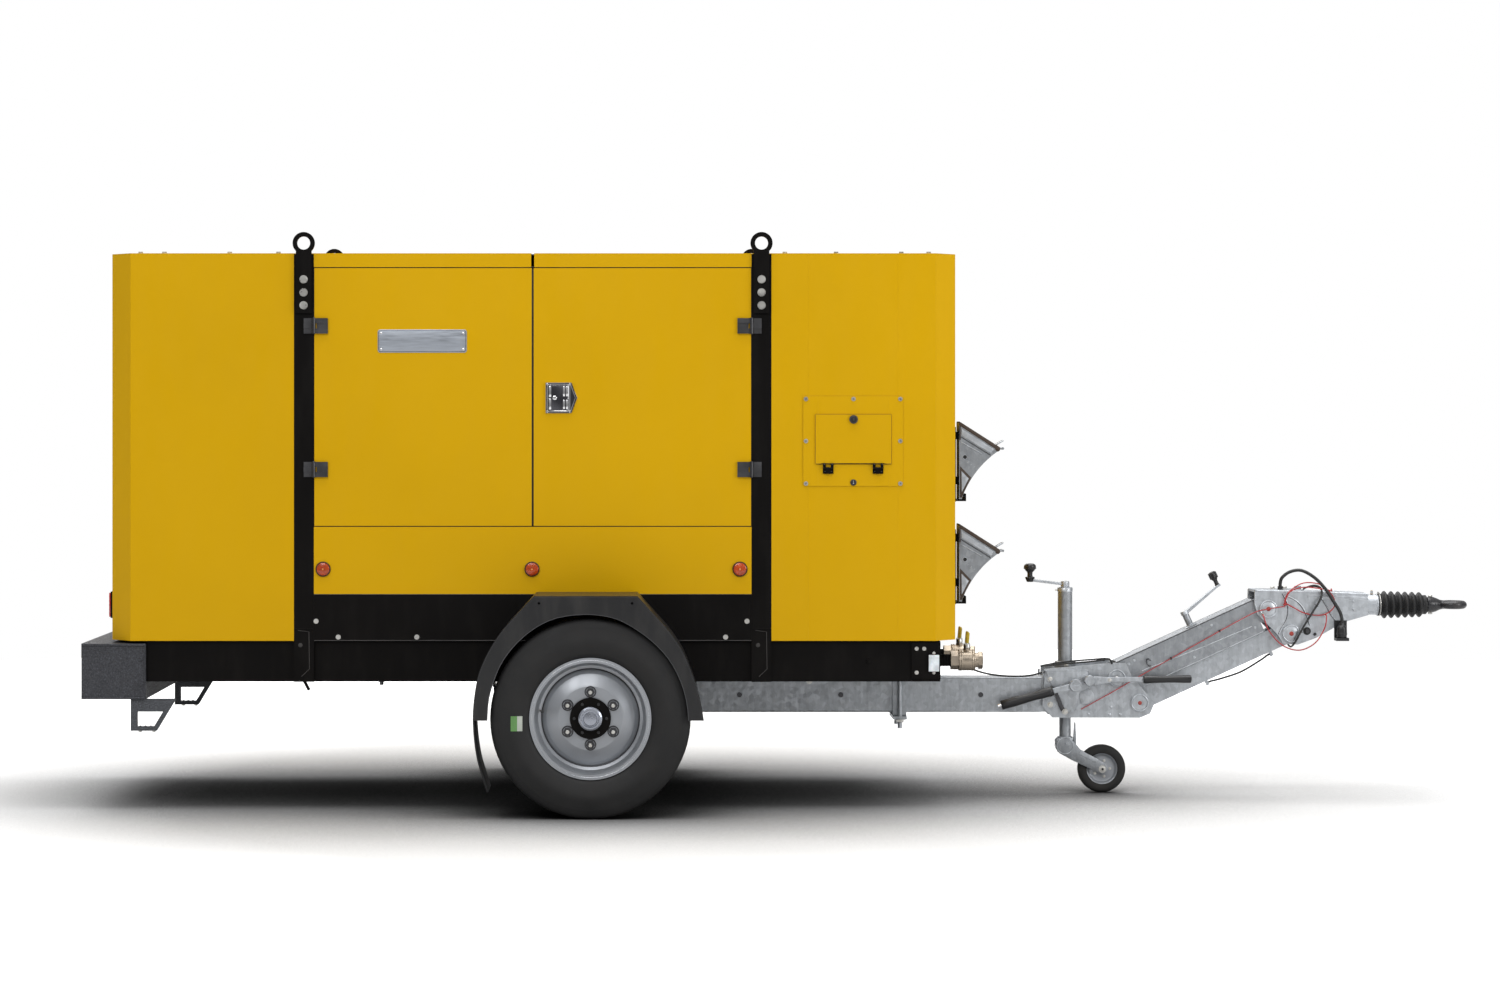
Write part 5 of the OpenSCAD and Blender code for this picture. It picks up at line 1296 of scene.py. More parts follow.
def make_fork():
    """Cheeks, axle bolt, collar and lock blade of the jockey wheel fork."""
    fork = Piece("fork_cheeks", "jockey_swivel")
    (x, z) = JOCKEY_AXLE
    cheek = arc((1.152, 0.196), 0.039, 150, 40, 10) + [(1.197, 0.206), (1.222, 0.176), (1.322, 0.122)]
    cheek += arc(JOCKEY_AXLE, 0.0205, 55, -110, 10) + [(1.18, 0.138), (1.13, 0.166)]
    for _, s in SIDES:
        out = (0, s, 0)
        fork.plate(cheek, s * 0.029, s * 0.035, ZINC_DARK, 0.0012)
        fork.rod((x, s * 0.027, z), (x, s * 0.0405, z), 0.0108, BOLT, 24, 0.001)
        fork.bolt((x, s * 0.0352, z), out, 0.0115, 0.0055)
        fork.disc((x, s * 0.0409, z), out, 0.005, 0.0006, GRIP, 16)
        fork.bolt((1.163, s * 0.035, 0.205), out, 0.0075, 0.006, ZINC_PALE)
        fork.ring((1.154, s * 0.0352, 0.196), Y, 0.033, 0.0018, ZINC)
        fork.box((1.212, s * 0.035, 0.142), (1.292, s * 0.0364, 0.16), ZINC_PALE, 0.001, ("Y", 28))
        fork.box((1.134, s * 0.02, 0.196), (1.186, s * 0.0292, 0.229), ZINC, 0.002)
    fork.rod((x, -0.029, z), (x, 0.029, z), 0.0105, BOLT)
    fork.lathe([(0.0152, 0.194), (0.03, 0.194), (0.032, 0.197), (0.032, 0.23), (0.0305, 0.2325),
                (0.0152, 0.2325)],
               (JACK_X, 0, 0), Z, ZINC, 40, True)
    blade = [(1.19, 0.2), (1.203, 0.2), (1.2035, 0.226), (1.2005, 0.29), (1.1975, 0.2915)]
    fork.plate(blade, -0.01, 0.01, ZINC)
    fork.done(["jockey_fork"])


def make_jack_crank(knob_x=1.012):
    """Hub, arm and ribbed knob of the jack crank."""
    piece = Piece("jack_crank_arm", "jack_crank")
    piece.lathe([(0.0101, 0.8537), (0.017, 0.8537), (0.0182, 0.8555), (0.0182, 0.874), (0.0165, 0.8785),
                 (0.0101, 0.8788)], (JACK_X, 0, 0), Z, ZINC_PALE, 36, True)
    piece.bolt((JACK_X, 0, 0.8745), Z, 0.0085, 0.0055, BOLT, 1.4)
    start = JACK_X - 0.004
    piece.plate([(start, 0.861), (start, 0.872), (1.006, 0.89), (1.001, 0.8865), (1.001, 0.8815),
                 (1.006, 0.879)],
                -0.0095, 0.0095, ZINC_PALE, 0.0028)
    knob = [(0, 0.8755), (0.013, 0.876), (0.019, 0.89), (0.0205, 0.8925), (0.019, 0.896), (0.0115, 0.8985),
            (0.0105, 0.908), (0.0118, 0.916), (0.0195, 0.924), (0.0245, 0.932), (0.0252, 0.94),
            (0.0225, 0.9475), (0.015, 0.952), (0, 0.953)]
    piece.lathe(knob, (knob_x, 0, 0), Z, GRIP, 40)
    for c, d in circle(10):
        piece.rod((knob_x + 0.0242 * c, 0.0242 * d, 0.93), (knob_x + 0.0225 * c, 0.0225 * d, 0.944), 0.0022,
                  GRIP, 8, 0.001)
    piece.done(["jack_crank"])


def ribbed_grip(piece, a, b, r, open_end=0.0):
    """Moulded grip waisted by one rib from a to b; open_end leaves a socket of that depth at b."""
    a, b = Vector(a), Vector(b)
    solid_end = (b - a).length - open_end
    profile = [(0, 0), (r * 0.8, 0), (r * 0.96, 0.004)]
    profile += [(r * (0.93 + 0.07 * cos(2 * pi * t)), 0.008 + (solid_end - 0.016) * t)
                for t in (k / 6 for k in range(7))]
    profile += [(r * 0.97, solid_end - 0.004), (r * (0.97 if open_end else 0.55), solid_end), (0, solid_end)]
    piece.lathe(profile, a, b - a, GRIP, 40)
    if open_end:
        piece.lathe([(0.01, 0), (r * 0.97, 0), (r * 0.97, open_end - 0.003), (r * 0.85, open_end),
                     (0.01, open_end)],
                    a + (b - a).normalized() * solid_end, b - a, GRIP, 40, True)


def lever_hub(piece, pivot, bore, r):
    rows = [(r - 0.0015, -0.134), (r, -0.132), (r, -0.108), (r - 0.0015, -0.106)]
    piece.lathe([(bore, -0.134), *rows, (bore, -0.106)], (pivot[0], 0, pivot[1]), Y, ZINC, 40, True)


def make_levers():
    """Flat forged bars with moulded grips for the brake and the clamp."""
    piece = Piece("brake_lever_bar", "brake_lever")
    lever_hub(piece, BRAKE_PIVOT, 0.0121, 0.026)
    way = (Vector(GRIP_B) - Vector(GRIP_A)).normalized()
    side = Vector((-way.y, way.x))
    start, end = Vector(BRAKE_PIVOT) + way * 0.02, Vector(GRIP_A) + way * 0.01
    bar = [start + side * 0.013, end + side * 0.011, end - side * 0.011, start - side * 0.013]
    piece.plate(bar, -0.1265, -0.1135, ZINC, 0.002)
    (grip_start, grip_end) = at_y((GRIP_A, GRIP_B), LEVER_Y)
    ribbed_grip(piece, grip_start, grip_end, 0.0205, 0.04)
    piece.ring(grip_start, (way.x, 0, way.y), 0.0165, 0.003, GRIP, 36)
    piece.done(["brake_lever"])

    piece = Piece("clamp_lever_bar", "clamp_lever")
    lever_hub(piece, CLAMP_PIVOT, 0.0101, 0.022)
    piece.plate([(1.259, 0.492), (1.33, 0.488), (1.33, 0.466), (1.262, 0.452)], -0.13, -0.11, ZINC, 0.003)
    piece.plate([(1.318, 0.488), (1.475, 0.489), (1.475, 0.469), (1.318, 0.4675)], -0.1245, -0.1155, ZINC,
                0.0022)
    piece.bolt((1.3265, -0.13, 0.477), NEAR, 0.006, 0.0035)
    ribbed_grip(piece, (1.4665, LEVER_Y, 0.4785), (1.666, LEVER_Y, 0.4805), 0.0165)
    piece.done(["clamp_lever"])


def make_link_crank(u=0.378, v=0.112):
    """Height crank of the arm: hub, flat bent arm and a star knob."""
    piece = Piece("link_crank_arm", "link_crank")
    piece.lathe([(0.0081, 0), (0.0155, 0), (0.017, 0.0015), (0.017, 0.014), (0.0155, 0.016), (0.0081, 0.016)],
                link_point(u, 0, v), LINK_UP, ZINC_PALE, 36, True)
    piece.bolt(link_point(u, 0, v + 0.0115), LINK_UP, 0.008, 0.006, BOLT, 1.4)
    bar = ((0.004, 0.004), (0.004, 0.013), (0.166, 0.0575), (0.184, 0.0575), (0.184, 0.049), (0.17, 0.0485),
           (0.022, 0.004))
    piece.plate([on_link(UPPER_REAR, u + a, v + b) for a, b in bar], -0.0115, 0.0115, ZINC_PALE, 0.0022)
    base = link_point(u + 0.172, 0, v + 0.057)
    piece.cap(base, LINK_UP, [(0.01, 0), (0.0085, 0.006), (0.0085, 0.02), (0.0125, 0.027), (0.015, 0.034),
                              (0.015, 0.052), (0.012, 0.0585)], GRIP, 36, 0.0605)
    for c, d in circle(6):
        rib = base + (Vector(Y) * c + LINK_UP.cross(Vector(Y)) * d) * 0.0135
        piece.rod(rib + LINK_UP * 0.03, rib + LINK_UP * 0.056, 0.0052, GRIP, 14, 0.002)
    piece.done(["link_crank"])


def make_arm_fittings():
    """Pressed crease drawn as a pale line for a painted highlight, edge beads with the top one a dark line
    for painted shade, rivets, hoop, crank post and clips of the arm.
    """
    piece = Piece("arm_fittings", "upper_arm")
    for _, s in SIDES:
        # Pale crease line: painted highlight; dark line along the top: painted shade
        for y, r, material, line in (
                (0.064, 0.0022, ZINC_PALE, ((0.11, -0.018), (0.4, -0.034), (0.6, -0.04))),
                (0.0632, 0.0028, STEEL_DARK, ((0.02, 0.0572), (0.3, 0.0572), (0.67, 0.0572))),
                (0.0635, 0.0022, ZINC, ((0.056, -0.079), (0.3, -0.079), (0.634, -0.079)))):
            piece.tube([link_point(u, s * y, v) for u, v in line], r, material)
        for u, v in ((0.072, 0.03), (0.098, 0.034), (0.61, -0.05), (0.33, -0.058), (0.45, 0.034)):
            piece.cap(link_point(u, s * 0.0638, v), (0, s, 0), [(0.0062, 0), (0.0052, 0.0018)], ZINC_PALE, 16,
                      0.0028)
    piece.tube([link_point(0.15 + 0.01 * cos(t), -0.065 - 0.008 * sin(t / 2), 0.002 + 0.016 * sin(t))
                for t in (0.3, 1.0, 1.8, 2.6, 3.4, 4.2, 5.0)], 0.0028, STEEL_DARK)
    gusset = ((0.35, 0.0595), (0.406, 0.0595), (0.396, 0.064), (0.36, 0.064))
    piece.plate([on_link(UPPER_REAR, u, v) for u, v in gusset], -0.03, 0.03, ZINC)
    piece.ring(link_point(0.378, 0, 0.066), LINK_UP, 0.015, 0.0028, ZINC_PALE, 32)
    for u, v in ((0.24, -0.0206), (0.47, -0.001)):
        piece.box(link_point(u, -0.073, v) - Vector((0.004, 0, 0.005)),
                  link_point(u, -0.064, v) + Vector((0.004, 0, 0.005)), GRIP)
    piece.done()


def make_arm_wire(y=-0.0712):
    """Red wire clipped along the arm, in a rear, a middle and a front length."""
    rear = [(1.2124, -0.094, 0.353), (1.285, -0.095, 0.393), (1.362, -0.095, 0.436), (1.44, -0.086, 0.48),
            link_point(0.15, y, -0.028), link_point(0.24, y, -0.0206)]
    middle = [link_point(0.238, y, -0.0207), link_point(0.355, y, -0.0108), link_point(0.472, y, -0.001)]
    front = [link_point(0.47, y, -0.0012), link_point(0.56, -0.078, 0.0065), link_point(0.64, -0.0905, 0.011),
             (1.9896, -0.0945, 0.7677), (2.02, -0.094, 0.7735), (2.055, -0.09, 0.778)]
    for name, body, line, blend in (
            ("rear", "chassis", spline(rear, 8), ("upper_arm", (1.37, 0, 0.46), (1.47, 0, 0.52))),
            ("middle", "upper_arm", middle, None),
            ("front", "upper_arm", spline(front, 8), ("hitch", (1.945, 0, 0.745), (2.035, 0, 0.790)))):
        piece = Piece("arm_wire_" + name, body)
        piece.tube(line, 0.0019, RED_WIRE)
        piece.done(smooth=60, blend=blend)


make_drawbar_fittings()
make_head_leads()
make_jack_fittings()
make_fork()
make_jack_crank()
make_levers()
make_link_crank()
make_arm_fittings()
make_arm_wire()


# ---- Hitch head ----

RIB_CURVES = (
    ((2.05, 0.832), (2.066, 0.8), (2.074, 0.765), (2.066, 0.722), (2.044, 0.684), (2.034, 0.664)),
    ((2.058, 0.824), (2.1, 0.806), (2.128, 0.78), (2.15, 0.74), (2.163, 0.7)),
    ((2.212, 0.812), (2.232, 0.78), (2.256, 0.736), (2.28, 0.712)))
RED_LOOP = [(2.055, -0.090, 0.778), (2.058, -0.094, 0.812), (2.080, -0.096, 0.846), (2.135, -0.094, 0.876),
            (2.205, -0.094, 0.868), (2.250, -0.098, 0.826), (2.262, -0.098, 0.786), (2.240, -0.094, 0.756),
            (2.200, -0.092, 0.742), (2.140, -0.092, 0.750), (2.090, -0.092, 0.775), (2.060, -0.092, 0.792)]
SECOND_LOOP = [(2.056, -0.090, 0.790), (2.075, -0.098, 0.838), (2.130, -0.098, 0.858), (2.190, -0.098, 0.854),
               (2.240, -0.092, 0.846)]


def make_hitch_side(piece, s):
    """Pivot covers, pressed ribs with a dark line beside each as painted shade, rolled edges and bolts on one
    side of the hitch head.
    """
    out = (0, s, 0)
    cover = ([(0.03, 0), (0.029, 0.0008)], 0.001, [(0.0095, 0), (0.0075, 0.002)], 0.0026)
    for pivot in (UPPER_FRONT, LOWER_FRONT):
        pivot_cover(piece, pivot, s, 0.086, cover, 0.034, RED_PAINT)
    for curve in RIB_CURVES:
        rib = spline(at_y(curve, s * 0.0802), 5)
        piece.tube(rib, 0.0024, ZINC_PALE)
        # Dark line below and behind each rib: painted shade
        piece.tube([p + Vector((-0.0035, -s * 0.0004, -0.001)) for p in rib], 0.0014, STEEL_DARK, 6)
    piece.tube(at_y(((1.94, 0.8425), (2.18, 0.8365), (2.402, 0.8275)), s * 0.0765), 0.0048, ZINC_PALE, 12)
    piece.tube(at_y(((1.9362, 0.842), (1.9345, 0.79), (1.9465, 0.747)), s * 0.0765), 0.004, ZINC, 10)
    piece.rod((2.15, s * 0.061, 0.8205), (2.404, s * 0.061, 0.8105), 0.0205, ZINC, 28, 0.003)
    piece.disc((2.15, s * 0.08, 0.676), out, 0.016, 0.0022, GRIP, 32)
    piece.bolt((2.15, s * 0.0822, 0.676), out, 0.0088, 0.007, STEEL_DARK, 0)
    piece.cap((2.183, s * 0.08, 0.663), out, [(0.007, 0), (0.005, 0.004)], GRIP, 18, 0.005)
    for x, z in ((2.345, 0.765), (2.345, 0.8), (2.3, 0.728)):
        piece.bolt((x, s * 0.08, z), out, 0.0062, 0.005, ZINC_PALE, 1.4)


def make_hitch_fittings():
    """Both sides of the head, the shaft collars, the grease nipple and the tied leads and red loops."""
    piece = Piece("hitch_fittings", "hitch")
    for _, s in SIDES:
        make_hitch_side(piece, s)
    for x in (2.026, 2.077):
        piece.bolt((x, 0.02, 0.846), Z, 0.0085, 0.01)
    piece.box((2.11, -0.02, 0.8405), (2.138, -0.012, 0.86), ZINC, 0.0015)
    for x, r in ((2.4065, 0.0433), (2.454, 0.0418)):
        piece.ring((x, 0, SHAFT_Z), X, r, 0.0026, ZINC_PALE, 56)
    piece.cap((2.435, 0, 0.8235), Z, [(0.0062, 0), (0.0062, 0.004), (0.0035, 0.006), (0.0035, 0.011),
                                      (0.0048, 0.013), (0.003, 0.018)], BRASS, 18, 0.0185)
    for k, gap in enumerate((0.0, 0.0072)):
        piece.hose([(2.075, -0.05, 0.622), (2.084, -0.076, 0.611), (2.1, -0.0925 - gap, 0.634),
                    (2.13, -0.0935 - gap, 0.69), (2.17, -0.0935 - gap, 0.755), (2.205, -0.0925 - gap, 0.815),
                    (2.208, -0.08, 0.85 + 0.003 * k), (2.185, -0.052, 0.86 + 0.004 * k),
                    (2.15, -0.036, 0.852), (2.142, -0.03, 0.84)], 0.0036, CABLE)
    for loop in (RED_LOOP, SECOND_LOOP):
        piece.hose(loop, 0.0024, RED_WIRE, 8, 5)
    # Ties of the red loops and clips of the leads
    for x, z in ((2.0555, 0.785), (2.245, 0.843)):
        piece.ring((x, -0.0945, z), (0.3, 0, 1), 0.0052, 0.0026, RED_WIRE, 16)
        piece.ring((x + 0.003, -0.0965, z + 0.004), (1, 0, 0.2), 0.005, 0.0024, RED_WIRE, 16)
    for x, z in ((2.122, 0.675), (2.186, 0.783)):
        piece.ring((x, -0.097, z), (0.55, 0, 0.83), 0.008, 0.0014, GRIP, 20, 6)
        piece.box((x - 0.002, -0.1065, z - 0.002), (x + 0.002, -0.104, z + 0.003), GRIP, 0.0005)
    piece.done()


make_hitch_fittings()


# ---- Chocks, valves and rear bumper ----

def make_chock(name, base):
    """Rubber strip, pressed channel with a dark line of painted shadow and a pale line of painted highlight
    beside it, hole drawn as a dark disc of painted shade, and leg of one wheel chock.
    """
    piece = Piece(name + "_details", name)

    def up(outline):
        return [(x, base + z) for x, z in outline]

    strip = ((0.6705, 0.3125), (0.8335, 0.2085), (0.8345, 0.1965), (0.827, 0.1945), (0.6705, 0.296))
    piece.plate(up(strip), -0.5125, -0.3875, CHOCK_EDGE, 0.002)
    for side, face in ((-1, -0.51), (1, -0.39)):
        out = (0, side, 0)
        for outline, y0, y1, material, bevel in (
                (((0.68, 0.282), (0.808, 0.201), (0.7985, 0.1835), (0.68, 0.256)), 0, 0.0022, ZINC_PALE,
                 0.001),
                (((0.6735, 0.133), (0.719, 0.086), (0.696, 0.042), (0.68, 0.006), (0.6735, 0.006)),
                 0, 0.0022, CHOCK_EDGE, 0.0008),
                (((0.679, 0.113), (0.708, 0.083), (0.68, 0.028)), 0.002, 0.0034, ZINC, 0.0006)):
            piece.plate(up(outline), face + side * y0, face + side * y1, material, bevel)
        # Dark line: painted shadow under the pressed channel; pale line: painted highlight
        for line, y, r, material, sides in (
                (((0.677, 0.25), (0.796, 0.1765)), 0.0012, 0.0022, STEEL_DARK, 6),
                (((0.677, 0.23), (0.76, 0.183)), 0.0012, 0.002, ZINC_PALE, 8),
                (((0.6735, 0.3), (0.6735, 0.27), (0.6735, 0.238)), 0.0015, 0.0026, CHOCK_EDGE, 8)):
            piece.tube(at_y(up(line), face + side * y), r, material, sides)
        # Dark disc for the hole: painted shade
        piece.disc((0.693, face, base + 0.169), out, 0.008, 0.0008, GRIP)
        piece.ring((0.693, face + side * 0.0006, base + 0.169), Y, 0.0088, 0.0014, ZINC_PALE, 28, 6)
        for x, z in up(((0.705, 0.148), (0.718, 0.139), (0.731, 0.13))):
            piece.box((x - 0.004, face, z - 0.001), (x + 0.004, face + side * 0.0015, z + 0.001), ZINC_PALE,
                      0.0004, ("Y", -35))
    piece.rod((0.8245, -0.5115, base + 0.201), (0.8245, -0.3885, base + 0.201), 0.0105, CHOCK_EDGE, 20, 0.004)
    handle = ((0.812, -0.472, 0.212), (0.848, -0.472, 0.233), (0.85, -0.465, 0.234), (0.85, -0.435, 0.234),
              (0.848, -0.428, 0.233), (0.812, -0.428, 0.212))
    piece.tube([(x, y, base + z) for x, y, z in handle], 0.0028, ZINC_PALE, 10)
    piece.done()


VALVES = (("valve_lever_outer", -0.45), ("valve_lever_inner", -0.13))
VALVE_X = 0.706
VALVE_Z = 0.582


def make_valve_fittings():
    """Nuts, grooves and hose nipples of the ball valves."""
    piece = Piece("valve_fittings", "chassis")
    for _, y in VALVES:
        for x in (0.6745, 0.682, 0.728, 0.7355):
            piece.ring((x, y, VALVE_Z), X, 0.0413, 0.0024, BRASS, 48)
        piece.lathe([(0.015, 0.766), (0.0335, 0.766), (0.0345, 0.7675), (0.0335, 0.769), (0.015, 0.769)],
                    (0, y, VALVE_Z), X, BRASS, 48, True)
        piece.cap((0, y, VALVE_Z), X, [(0.0245, 0.755), (0.0245, 0.7672)], STEEL_DARK, 36)
        for k in range(4):
            piece.ring((0.592 + 0.011 * k, y, VALVE_Z), X, 0.0235, 0.002, BLACK)
        piece.bolt((VALVE_X, y, 0.644), Z, 0.011, 0.008, BRASS, 0)
    piece.done()


def make_valve_lever(name, y):
    """Stem nut, cross strap and two sleeved prongs joined at the top."""
    lever = Piece(name + "_strap", name)
    x = VALVE_X
    lever.lathe([(0.00706, 0.6306), (0.0115, 0.6306), (0.013, 0.632), (0.013, 0.648), (0.0115, 0.65),
                 (0.00706, 0.65)],
                (x, y, 0), Z, BOLT, 32, True)
    lever.bolt((x, y, 0.6495), Z, 0.0068, 0.005, BOLT, 1.3)
    lever.box((x - 0.012, y - 0.016, 0.6478), (x + 0.012, y + 0.016, 0.65), BOLT, 0.0006)
    lean = [(x - 0.0052, 0.651), (x + 0.0052, 0.651), (x + 0.009, 0.69), (x + 0.007, 0.6965),
            (x + 0.002, 0.698), (x - 0.0015, 0.694)]
    for _, s in SIDES:
        lever.box((x - 0.0042, y + s * 0.015, 0.6485), (x + 0.0042, y + s * 0.034, 0.6525), BOLT)
        lever.plate(lean, y + s * 0.0215, y + s * 0.034, LEVER_YELLOW, 0.0022)
    lever.plate([(x - 0.0015, 0.69), (x + 0.0085, 0.69), (x + 0.007, 0.697), (x + 0.001, 0.6975)],
                y - 0.03, y + 0.03, LEVER_YELLOW, 0.0022)
    lever.done([name])


def make_bumper_details():
    """Rolled lips, corner welds and bolts of the bumper, its steps and the rail ends."""
    piece = Piece("bumper_details", "chassis")
    for z0, z1 in ((0.4405, 0.4495), (0.6515, 0.6605)):
        piece.box((-2.8298, -0.64, z0), (-2.8255, 0.64, z1), BUMPER, 0.0015)
        for _, s in SIDES:
            piece.box((-2.829, s * 0.64, z0), (-2.5752, s * 0.6455, z1), BUMPER, 0.002)
    for _, s in SIDES:
        out = (0, s, 0)
        piece.tube([(-2.5765, s * 0.6412, 0.444), (-2.5765, s * 0.6412, 0.658)], 0.003, BUMPER)
        for z in (0.5, 0.6):
            piece.bolt((-2.595, s * 0.64, z), out, 0.0085, 0.007, BUMPER)
        for x in (-2.6, -2.545):
            piece.bolt((x, s * 0.616, 0.3142), DOWN, 0.0075, 0.006)
        # Tread bars on each step, and the lashing bolts and drain rod under the rails
        for k in range(4):
            x = -2.622 + 0.02 * k
            piece.box((x, s * 0.601, 0.329), (x + 0.006, s * 0.631, 0.3325), STEP_GREY)
        for x, h in ((-1.64, 0.015), (-1.12, 0.012)):
            piece.bolt((x, s * 0.6, 0.509), DOWN, 0.0085, h, STEEL_DARK)
        piece.rod((-1.95, s * 0.585, 0.5095), (-1.93, s * 0.585, 0.472), 0.0065, BLACK, 16, 0.002)
        # Welded foot plates of the posts and the lines where the skirt meets the rail
        for post in (-1.9455, -0.1275):
            foot = ((post - 0.024, 0.714), (post + 0.02, 0.708), (post + 0.022, 0.56), (post - 0.01, 0.53))
            piece.tube(at_y(foot, s * 0.6402), 0.0016, WELD_GREY, 6)
            piece.bolt((post - 0.014, s * 0.64, 0.655), out, 0.0065, 0.006, WELD_GREY)
            piece.tube(at_y(((post - 0.0375, 0.719), (post + 0.0375, 0.719)), s * 0.6405), 0.0022, BLACK)
        for z, r in ((0.857, 0.0012), (0.6735, 0.0014)):
            piece.tube([(-1.9055, s * 0.6402, z), (-0.1675, s * 0.6402, z)], r, WELD_GREY, 6)
        for x in (-1.02, 0.3):
            piece.bolt((x, s * 0.62, 0.59), out, 0.009, 0.008, BLACK)
        for x, z in ((0.49, 0.64), (0.49, 0.545), (0.52, 0.64)):
            piece.bolt((x, s * 0.628, z), out, 0.006, 0.005)
    piece.done()


make_chock("chock_upper", 1.232)
make_chock("chock_lower", 0.821)
make_valve_fittings()
for lever_name, lever_y in VALVES:
    make_valve_lever(lever_name, lever_y)
make_bumper_details()


# ---- Inside the canopy ----

CRANK_Z = 1.03
ALTERNATOR_Z = 0.93
PIPE_Z = 1.65


def make_engine_details():
    """Rocker cover, injection pump and lines, filters, starter, belt drive and exhaust riser."""
    piece = Piece("engine_details", "chassis")
    for a, b, material, bevel in (
            ((-1.03, 0.03, 1.299), (-0.46, 0.104, 1.334), TANK, 0.008),
            ((-0.985, -0.212, 0.96), (-0.79, -0.15, 1.06), ALLOY, 0.008),
            ((-0.735, -0.225, 1.04), (-0.645, -0.15, 1.068), ALLOY, 0.005)):
        piece.box(a, b, material, bevel)
    for k in range(5):
        piece.bolt((-1 + 0.127 * k, 0.067, 1.3335), Z, 0.0085, 0.007)
    for _, s in SIDES:
        for k in range(6):
            piece.bolt((-1.01 + 0.108 * k, s * 0.11, 1.185), (0, s, 0), 0.0095, 0.008)
        for k in range(8):
            piece.bolt((-1 + 0.072 * k, s * 0.13, 0.84), (0, s, 0), 0.006, 0.006)
        for k in range(4):
            piece.box((-1.03 + 0.155 * k, s * 0.15, 0.9), (-0.915 + 0.155 * k, s * 0.157, 1.08), ENGINE,
                      0.006)
    for k in range(4):
        x, port = -0.96 + 0.048 * k, -0.99 + 0.14 * k
        piece.bolt((x, -0.182, 1.06), Z, 0.008, 0.012)
        piece.hose([(x, -0.182, 1.068), (x, -0.186, 1.11), (port, -0.168, 1.175), (port, -0.135, 1.235),
                    (port, -0.108, 1.262)], 0.0038, BOLT, 8, 4)
    piece.cap((-0.69, -0.206, 0), Z, [(0.04, 0.9), (0.046, 0.907), (0.046, 1.018), (0.04, 1.028),
                                      (0.04, 1.04)], GRIP, 36)
    piece.rod((-0.61, -0.205, 0.905), (-0.44, -0.205, 0.905), 0.045, GRIP, 32, 0.006)
    piece.rod((-0.6, -0.185, 0.965), (-0.5, -0.185, 0.965), 0.024, BOLT, 24, 0.004)
    for k in range(6):
        x = -1 + 0.106 * k
        piece.ring((x, 0.15, 1.23), X, 0.0352, 0.004, EXHAUST, 32)
        piece.rod((x, 0.108, 1.23), (x, 0.14, 1.23), 0.024, EXHAUST, 20, 0.002)
    riser = spline([(-0.95, 0.155, 1.24), (-0.97, 0.16, 1.34), (-1.02, 0.135, 1.47), (-1.11, 0.075, 1.59),
                    (-1.22, 0.02, 1.642), (-1.32, 0, PIPE_Z), (-1.425, 0, PIPE_Z)], 6)
    piece.tube(riser, 0.03, EXHAUST, 24)
    for k in range(2, len(riser) - 3, 2):
        piece.ring(riser[k], riser[k + 1] - riser[k - 1], 0.03, 0.0042, EXHAUST, 28)
    # Belt drive at the radiator end
    wheel = [(0.066, -0.012), (0.068, -0.01), (0.062, -0.002), (0.068, 0.008), (0.066, 0.01)]
    piece.lathe([(0.0152, -0.012), *wheel, (0.0152, 0.01)], (-1.105, 0, CRANK_Z), X, BLACK, 48, True)
    piece.cap((-1.105, -0.165, 1.205), X,
              [(0.036, -0.012), (0.038, -0.01), (0.033, -0.002), (0.038, 0.008), (0.036, 0.01)], BOLT, 36)
    piece.rod((-1.09, -0.165, 1.205), (-0.985, -0.165, 1.205), 0.052, ALLOY, 32, 0.008)
    belt = arc((0, CRANK_Z), 0.0655, 30, -140, 20) + arc((-0.165, 1.205), 0.036, -150, -310, 12)
    piece.tube([(-1.107, y, z) for y, z in belt], 0.0058, RUBBER, 8, True)
    for x in (-0.905, -0.585):
        piece.ring((x, -0.06, 1.381), X, 0.0795, 0.003, BOLT, 48)
    piece.done()


def make_cooling_details():
    """Radiator frame, cap and hoses, and the guard ring of the fan."""
    piece = Piece("cooling_details", "chassis")
    piece.box((-1.362, -0.408, 1.599), (-1.292, 0.408, 1.613), BLACK, 0.004)
    for _, s in SIDES:
        piece.box((-1.362, s * 0.399, 0.74), (-1.292, s * 0.414, 1.6), BLACK, 0.003)
        for z in (0.8, 1.1, 1.4):
            piece.bolt((-1.327, s * 0.414, z), (0, s, 0), 0.008, 0.006)
    piece.cap((-1.327, -0.3, 1.613), Z, [(0.028, 0), (0.03, 0.003), (0.03, 0.012), (0.026, 0.017)], ALLOY, 32,
              0.018)
    piece.hose([(-1.3, -0.25, 1.555), (-1.23, -0.25, 1.545), (-1.13, -0.18, 1.47), (-1.04, -0.07, 1.4),
                (-1.015, -0.02, 1.35), (-1.015, -0.02, 1.298)], 0.021, RUBBER, 20)
    piece.hose([(-1.3, 0.33, 0.8), (-1.21, 0.33, 0.79), (-1.11, 0.25, 0.83), (-1.04, 0.19, 0.9),
                (-1.03, 0.15, 0.93)], 0.021, RUBBER, 20)
    piece.ring((-1.245, 0, CRANK_Z), X, 0.272, 0.006, BLACK, 80, 10)
    piece.ring((-1.292, 0, CRANK_Z), X, 0.276, 0.005, BLACK, 80)
    for y, z in circle(8, 0.272, pi / 8):
        piece.rod((-1.299, y * 1.03, CRANK_Z + z * 1.03), (-1.245, y, CRANK_Z + z), 0.004, BLACK, 10)
    piece.done()


